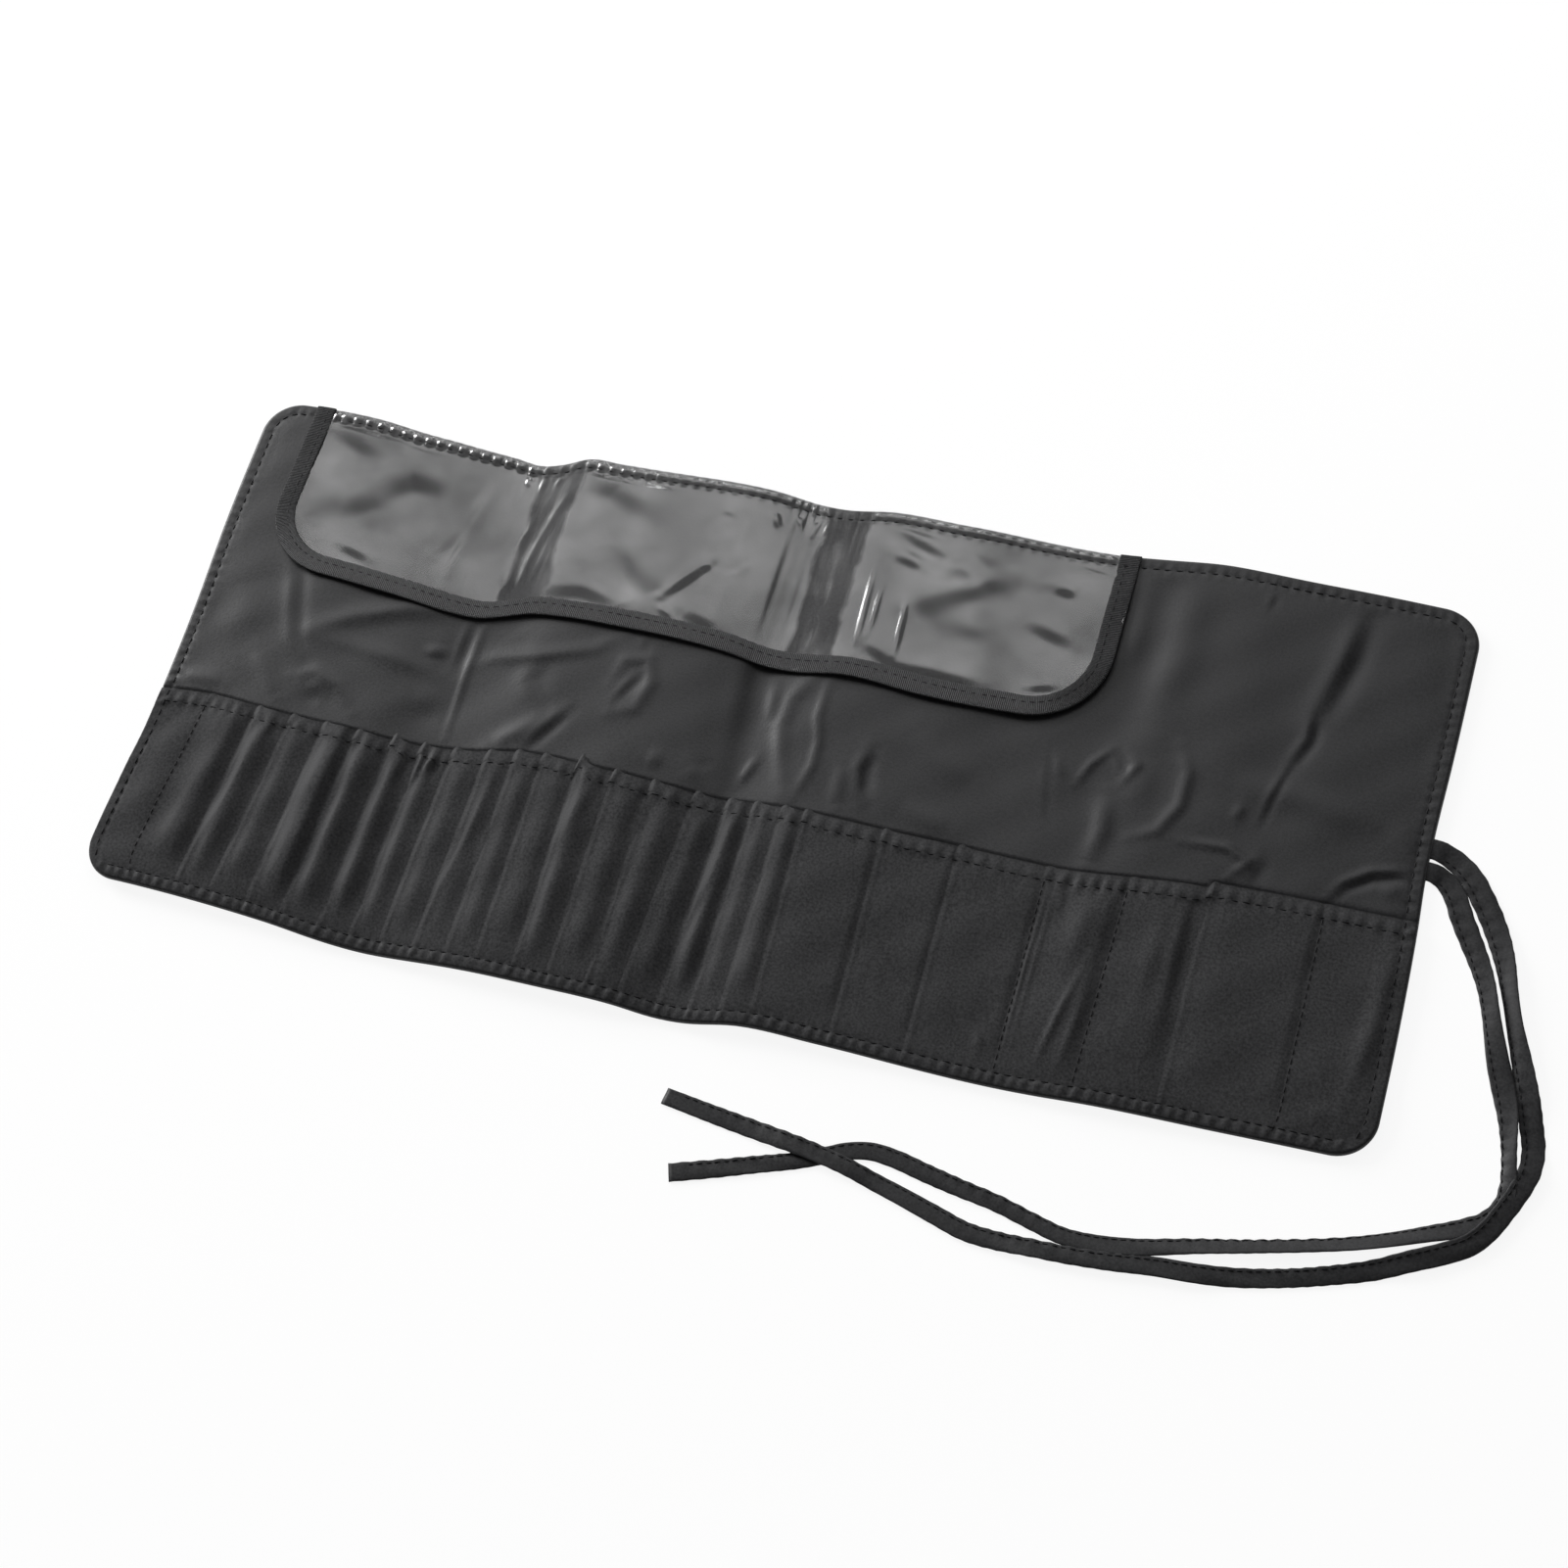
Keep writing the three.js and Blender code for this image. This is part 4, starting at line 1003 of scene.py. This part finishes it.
def vinyl_height(x, y):
    """The vinyl's upper face, with its dents and the puckers of its sewn edge."""
    seen_x, seen_y = x + VINYL_SIGHT[0], y + sway(x, y) + VINYL_SIGHT[1]
    dents = sum(crease(seen_x, seen_y, *each) for each in VINYL_RIDGES)
    dents += sum(slope(seen_x, seen_y, *each) for each in VINYL_SLOPES)
    dents += VINYL_SWELL * np.sin(x / 17.0 + 0.8) * np.sin(y / 15.0 + x / 60.0)
    bend = x + 3.0 * np.sin(y / 13.0 + x / 40.0)
    for middle in FOLDED_STRIPS:
        inside = smooth((FOLDED_HALF - np.abs(bend - middle)) / 4)
        dents += FOLDED_DEPTH * inside * np.sin(bend / 1.25 + y / 9.0) * np.sin(y / 6.5 - x / 4.0)
    step = x / RIM_DOME_PITCH + 0.16 * np.sin(x / 13.0)
    along, over = 2 * (step - np.floor(step)) - 1, (y - RIM_DOME_MIDDLE) / RIM_DOME_HALF
    dome = 1 - along ** 2 - over ** 2
    ends = smooth((x - FLAP_LEFT - 6) / 5) * smooth((FLAP_RIGHT - 6 - x) / 5)
    pucker = (0.4 + 0.7 * smooth((-30 - x) / 110)) * np.maximum(dome, 0) * ends
    pucker += np.interp(y, *np.array(RIM_SHAPE).T) * (1 + 0.15 * np.sin(x / 7.0)) * ends
    bunched = sum(hump(x - middle, width) for middle, width in BUNCHED)
    pucker += BUNCHED_HEIGHT * bunched * np.sin(x * 1.9) * smooth((y - 92) / 12)
    z = vinyl_level(x, y) + dents * smooth((FLAP_SEAM - 1 - y) / 4) + pucker
    rest = lining_height(x, y) + VINYL_CLEARANCE
    return rest + (z - rest + np.hypot(z - rest, VINYL_SOFT_REST)) / 2


def flap_ends(x, y):
    """Draws the ends of the flap's rows in round its two free corners."""
    rise = np.clip(FLAP_FREE + FLAP_CORNER - y, 0, FLAP_CORNER)
    drawn_in = FLAP_CORNER - np.sqrt(FLAP_CORNER ** 2 - rise ** 2)
    reach = FLAP_CORNER + 15
    left = np.clip((FLAP_LEFT + reach - x) / reach, 0, 1)
    right = np.clip((x - FLAP_RIGHT + reach) / reach, 0, 1)
    return x + drawn_in * (left - right)


def settle_flap(x, y, z):
    """Settles the flap, whose free edge lies a little out of straight by itself."""
    out = np.clip((FLAP_HINGE - y) / (FLAP_HINGE - FLAP_FREE), 0, 1)
    return settle(x, y + out * drawn(FLAP_SWAY, x), z)


def lay_vinyl(column, row):
    x = flap_ends(column, row)
    return settle_flap(x, row, vinyl_height(x, row))


# The two folded strips of the vinyl are crumpled and rougher, and they get painted shade: the mix
# factor below dims their reflection.
SHADED_CRUMPLED_STRIPS, SHADED_CRUMPLED_HALF, SHADED_CRUMPLED_EDGE = (-0.1175, 0.0025), 0.0095, 0.002
vinyl = Finish("clear_vinyl")
wander = vinyl.noise(45, 3) * 0.012 - 0.006
across = vinyl.node("SeparateXYZ", None, {0: vinyl.node("TexCoord", output="Object")}) + wander
crumpled_and_painted_shade = 0.0
for middle in SHADED_CRUMPLED_STRIPS:
    off = vinyl.node("Math", {"operation": "ABSOLUTE"}, {0: across - middle})
    inside = {0: (SHADED_CRUMPLED_HALF - off) * (1 / SHADED_CRUMPLED_EDGE), 1: 0.0}
    crumpled_and_painted_shade += vinyl.node("Math", {"operation": "ADD", "use_clamp": True}, inside)
mirror = vinyl.node("BsdfPrincipled", None, {
    "Base Color": (0.95, 0.95, 0.95, 1),
    "Metallic": 1.0,
    "Roughness": 0.16 + vinyl.noise(40, 2) * 0.14 + crumpled_and_painted_shade * 0.30,
}, "BSDF")
see_through = vinyl.node("BsdfTransparent", None, {"Color": (0.985, 0.985, 0.985, 1)})
# Painted reflection: noise clouds scale the mirrored light, in patches, from none to about four
# times the sheet's Fresnel reflection.
painted_reflection_patches = vinyl.noise(36, 3)
# Streaks of painted shade inside the folded strips.
painted_shade_streaks = vinyl.noise(1.0, 3, (420, 14, 1))
outer_face = 1 - vinyl.node("NewGeometry", output="Backfacing")
grazing = vinyl.node("Fresnel", None, {"IOR": 1.5}) * outer_face
gloss = grazing * (painted_reflection_patches * 4.1 - crumpled_and_painted_shade * (painted_shade_streaks * 1.8 + 0.9))
glossed = {0: gloss, 1: see_through, 2: mirror}
vinyl_finish = vinyl.surface(vinyl.node("MixShader", None, glossed))
vinyl_parts = sheet_parts(
    "flap_vinyl",
    np.linspace(FLAP_LEFT, FLAP_RIGHT, VINYL_COLUMNS),
    np.concatenate([
        np.linspace(FLAP_FREE, 100, VINYL_ROWS), np.linspace(100.6, FLAP_TOP, VINYL_RIM_ROWS),
    ]),
    lay_vinyl, VINYL_THICKNESS, vinyl_finish, FLAP_BREAKS,
)


def bend_at_seam(piece):
    """Bakes a piece's placement into its mesh."""
    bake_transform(piece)


for number, part in enumerate(vinyl_parts, 1):
    low = max(FLAP_BREAKS[number - 1], FLAP_LEFT)
    high = min(FLAP_BREAKS[number], FLAP_RIGHT)
    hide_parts(f"flap_rim_{number}", f"flap_sheet_{number}")
    (high - low) * MM
    bend_at_seam(part)


# Flap binding: a ribbed woven tape folded over the flap's two ends and free edge, with one row of
# stitches through both leaves. Its ends are sewn into the far edge with the flap.
BINDING_WIDTH, BINDING_THICKNESS, BINDING_STEP, BINDING_RING = 8.4, 1.3, 1.3, 20
BINDING_OVERHANG, BINDING_STITCH, BINDING_GROOVE = 0.6, 4.8, 0.8
BINDING_BLUNT, BINDING_RIM_LIFT = (0.45, 0.4), 0.25
RIB_PITCH = 0.75


def binding_line():
    """Places along the flap's bound edge with their outward directions, end to end."""
    side = np.arange(FLAP_TOP, FLAP_FREE + FLAP_CORNER, -BINDING_STEP)
    turn = np.linspace(0, np.pi / 2, int(FLAP_CORNER * np.pi / 2 / BINDING_STEP))
    low, inner = FLAP_FREE + FLAP_CORNER, FLAP_LEFT + FLAP_CORNER
    outer = FLAP_RIGHT - FLAP_CORNER
    run = np.arange(inner + BINDING_STEP, outer, BINDING_STEP)
    rows = [(FLAP_LEFT, y, -1.0, 0.0) for y in side]
    rows += [
        (inner - FLAP_CORNER * np.cos(a), low - FLAP_CORNER * np.sin(a), -np.cos(a), -np.sin(a))
        for a in turn
    ]
    rows += [(x, FLAP_FREE, 0.0, -1.0) for x in run]
    rows += [
        (outer + FLAP_CORNER * np.sin(a), low - FLAP_CORNER * np.cos(a), np.sin(a), -np.cos(a))
        for a in turn
    ]
    rows += [(FLAP_RIGHT, y, 1.0, 0.0) for y in side[::-1]]
    return np.array(rows)


edge_line = binding_line()
edge_run = run_along(edge_line)


def on_binding(station, inward, above):
    """A place on the binding, by station, distance in from the edge and height over the vinyl."""
    x = edge_line[station, 0] - inward * edge_line[station, 2]
    y = edge_line[station, 1] - inward * edge_line[station, 3]
    run = edge_run[station]
    z = vinyl_level(x, y) - VINYL_THICKNESS / 2 + above + BINDING_RIM_LIFT * (y > FLAP_SEAM)
    z += 0.08 * puckers(run) + 0.12 * np.sin(run / 6.0 + inward / 3.0)
    return settle_flap(x, y, z)


binding = Finish("binding_tape")
rib_place = binding.node("SeparateXYZ", None, {0: binding.node("TexCoord", output="UV")})
ribs = binding.node("Math", {"operation": "SINE"}, {0: rib_place * (2 * math.pi / RIB_PITCH)})
lint = binding.noise(900, 3)
binding_finish = binding.surface(binding.node("BsdfPrincipled", None, {
    "Base Color": binding.blend(
        ribs * 0.35 + lint * 0.9 + 0.05, (0.014, 0.014, 0.015), (0.072, 0.072, 0.074)
    ),
    "Roughness": 0.6,
    "Specular IOR Level": 0.2,
    "Normal": binding.node(
        "Bump", None, {"Height": ribs + lint * 2, "Strength": 0.7, "Distance": 0.0003}
    ),
}, "BSDF"))
bm, station, angle = tube_grid(len(edge_line), BINDING_RING)
wide, high = blunt(np.cos(angle), BINDING_BLUNT[0]), blunt(np.sin(angle), BINDING_BLUNT[1])
inward = BINDING_WIDTH / 2 - BINDING_OVERHANG - wide * BINDING_WIDTH / 2
above = high * BINDING_THICKNESS / 2 * (1 - 0.6 * hump(inward - BINDING_STITCH, BINDING_GROOVE))
ribbed = bm.loops.layers.uv.new("along")
for vertex, spot in zip(bm.verts, on_binding(station, inward, above)):
    vertex.co = spot
for face in bm.faces:
    for loop in face.loops:
        loop[ribbed].uv = (edge_run[station[loop.vert.index]], angle[loop.vert.index])
bmesh.ops.remove_doubles(bm, verts=bm.verts[:], dist=1e-6)
bmesh.ops.recalc_face_normals(bm, faces=bm.faces[:])
binding_whole = bpy.data.meshes.new("binding")
bm.to_mesh(binding_whole)
bm.free()
note_shading(binding_whole)
for number in range(1, len(FLAP_BREAKS)):
    bm = bmesh.new()
    bm.from_mesh(binding_whole)
    cut_between(bm, *FLAP_BREAKS[number - 1:number + 1])
    bmesh.ops.holes_fill(bm, edges=[e for e in bm.edges if e.is_boundary], sides=0)
    part = add_piece(f"binding_{number}", bm, binding_finish)
    keep_shading(part.data)
    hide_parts(f"flap_binding_{number}")
    bend_at_seam(part)
bpy.data.meshes.remove(binding_whole)


# Sewing thread: dark polyester lockstitches, as the machine left them - round the rim, along the
# hem and the slot seams, through the flap's sewn edge and through its binding.
STITCH_LENGTH, STITCH_PITCH, STITCH_THICKNESS, STITCH_LIFT = 2.9, 4.5, 0.6, 0.08
SLOT_STITCH_LENGTH, SLOT_STITCH_PITCH, SLOT_STITCH_THICKNESS = 2.5, 3.6, 0.45
SLOT_STITCH_LIFT, FLAT_STITCH_LIFT = -0.3, 0.1
FLAP_STITCH_LENGTH, FLAP_STITCH_PITCH, FLAP_STITCH_LIFT = 2.2, 4.6, 0.15
BINDING_STITCH_LENGTH, BINDING_STITCH_THICKNESS, BINDING_STITCH_LIFT = 3.2, 0.8, 0.36
END_STITCH_COLUMNS = (0.18, len(SEAMS) + 0.87)
case_threads = [bmesh.new() for _ in FOLD_LINES]
flap_threads = [bmesh.new() for _ in vinyl_parts]


def sew(places, threads, breaks, length=STITCH_LENGTH, thickness=STITCH_THICKNESS):
    """Stitches along a row of places in metres, shared out between the parts of the case."""
    along = np.gradient(places, axis=0)
    for place, ahead in zip(places, along):
        part = int(np.clip(np.searchsorted(breaks, place[0] / MM) - 1, 0, len(threads) - 1))
        add_stitch(threads[part], place, ahead, (0, 0, 1), length * MM, thickness * MM)


def rim_line(inset, step):
    """The topstitch line: up the left end, along the far edge and down the right end."""
    radius = CORNER - inset
    side_x, top_y = HALF_LENGTH - inset, HALF_DEPTH - inset
    turn = np.linspace(0, np.pi / 2, 5)[1:-1]
    left = [(-side_x, y) for y in np.arange(-24, top_y - radius, step)]
    left += [
        (-side_x + radius - radius * np.cos(a), top_y - radius + radius * np.sin(a)) for a in turn
    ]
    far = [(x, top_y) for x in np.arange(-side_x + radius, side_x - radius, step)]
    right = [(-x, y) for x, y in left[::-1]]
    return np.array(left + far + right)


rim = rim_line(SEAM_INSET, STITCH_PITCH)
bare = (rim[:, 1] < 100) | (rim[:, 0] < FLAP_LEFT - 2) | (rim[:, 0] > FLAP_RIGHT + 2)
bare &= rim[:, 1] > np.where(rim[:, 0] < 0, -26, -17)
rim = rim[bare].T
sew(settle(*rim, lining_height(*rim) + STITCH_LIFT), case_threads, PART_ENDS)


def sew_pockets(column, depth, lift=STITCH_LIFT, **stitch):
    """Stitches on the pocket cloth, by column and depth below its mouth."""
    places = settle(*on_pockets(column, depth)) + (0, 0, lift * MM)
    sew(places, case_threads, PART_ENDS, **stitch)


slot_numbers = np.arange(len(SLOT_TOPS), dtype=float)
hem = np.interp(np.arange(-244, 244, STITCH_PITCH), SLOT_TOPS, slot_numbers)
sew_pockets(hem, HEM_STITCH)
foot = np.interp(np.arange(-240, 241, STITCH_PITCH), SLOT_FEET, slot_numbers)
sew_pockets(foot, slot_at(foot)[4] - FOOT_STITCH)
for number in slot_numbers[1:-1]:
    depth = np.arange(7.5, slot_at(number)[4] - 4, SLOT_STITCH_PITCH)
    lift = FLAT_STITCH_LIFT if number in FLAT_SEAMS else SLOT_STITCH_LIFT
    sew_pockets(
        np.full(len(depth), number), depth, lift,
        length=SLOT_STITCH_LENGTH, thickness=SLOT_STITCH_THICKNESS,
    )
for column in END_STITCH_COLUMNS:
    depth = np.arange(2.0, slot_at(np.array(column))[4] - FOOT_STITCH, STITCH_PITCH)
    sew_pockets(np.full(len(depth), column), depth)
seam_x = np.arange(FLAP_LEFT + 2, FLAP_RIGHT - 1, FLAP_STITCH_PITCH)
seam_y = np.full(len(seam_x), FLAP_SEAM)
seam = settle(seam_x, seam_y, vinyl_height(seam_x, seam_y) + FLAP_STITCH_LIFT)
sew(seam, case_threads, PART_ENDS, FLAP_STITCH_LENGTH)
bound = np.arange(2, len(edge_line) - 2, 3)
top = on_binding(bound, BINDING_STITCH, BINDING_STITCH_LIFT)
sew(top, flap_threads, FLAP_BREAKS, BINDING_STITCH_LENGTH, BINDING_STITCH_THICKNESS)
for number, threads in enumerate(case_threads, 1):
    piece = add_piece(f"case_thread_{number}", threads, thread_finish)
    bend_over_fold(piece)
for number, threads in enumerate(flap_threads, 1):
    piece = add_piece(f"flap_thread_{number}", threads, thread_finish)
    bend_at_seam(piece)
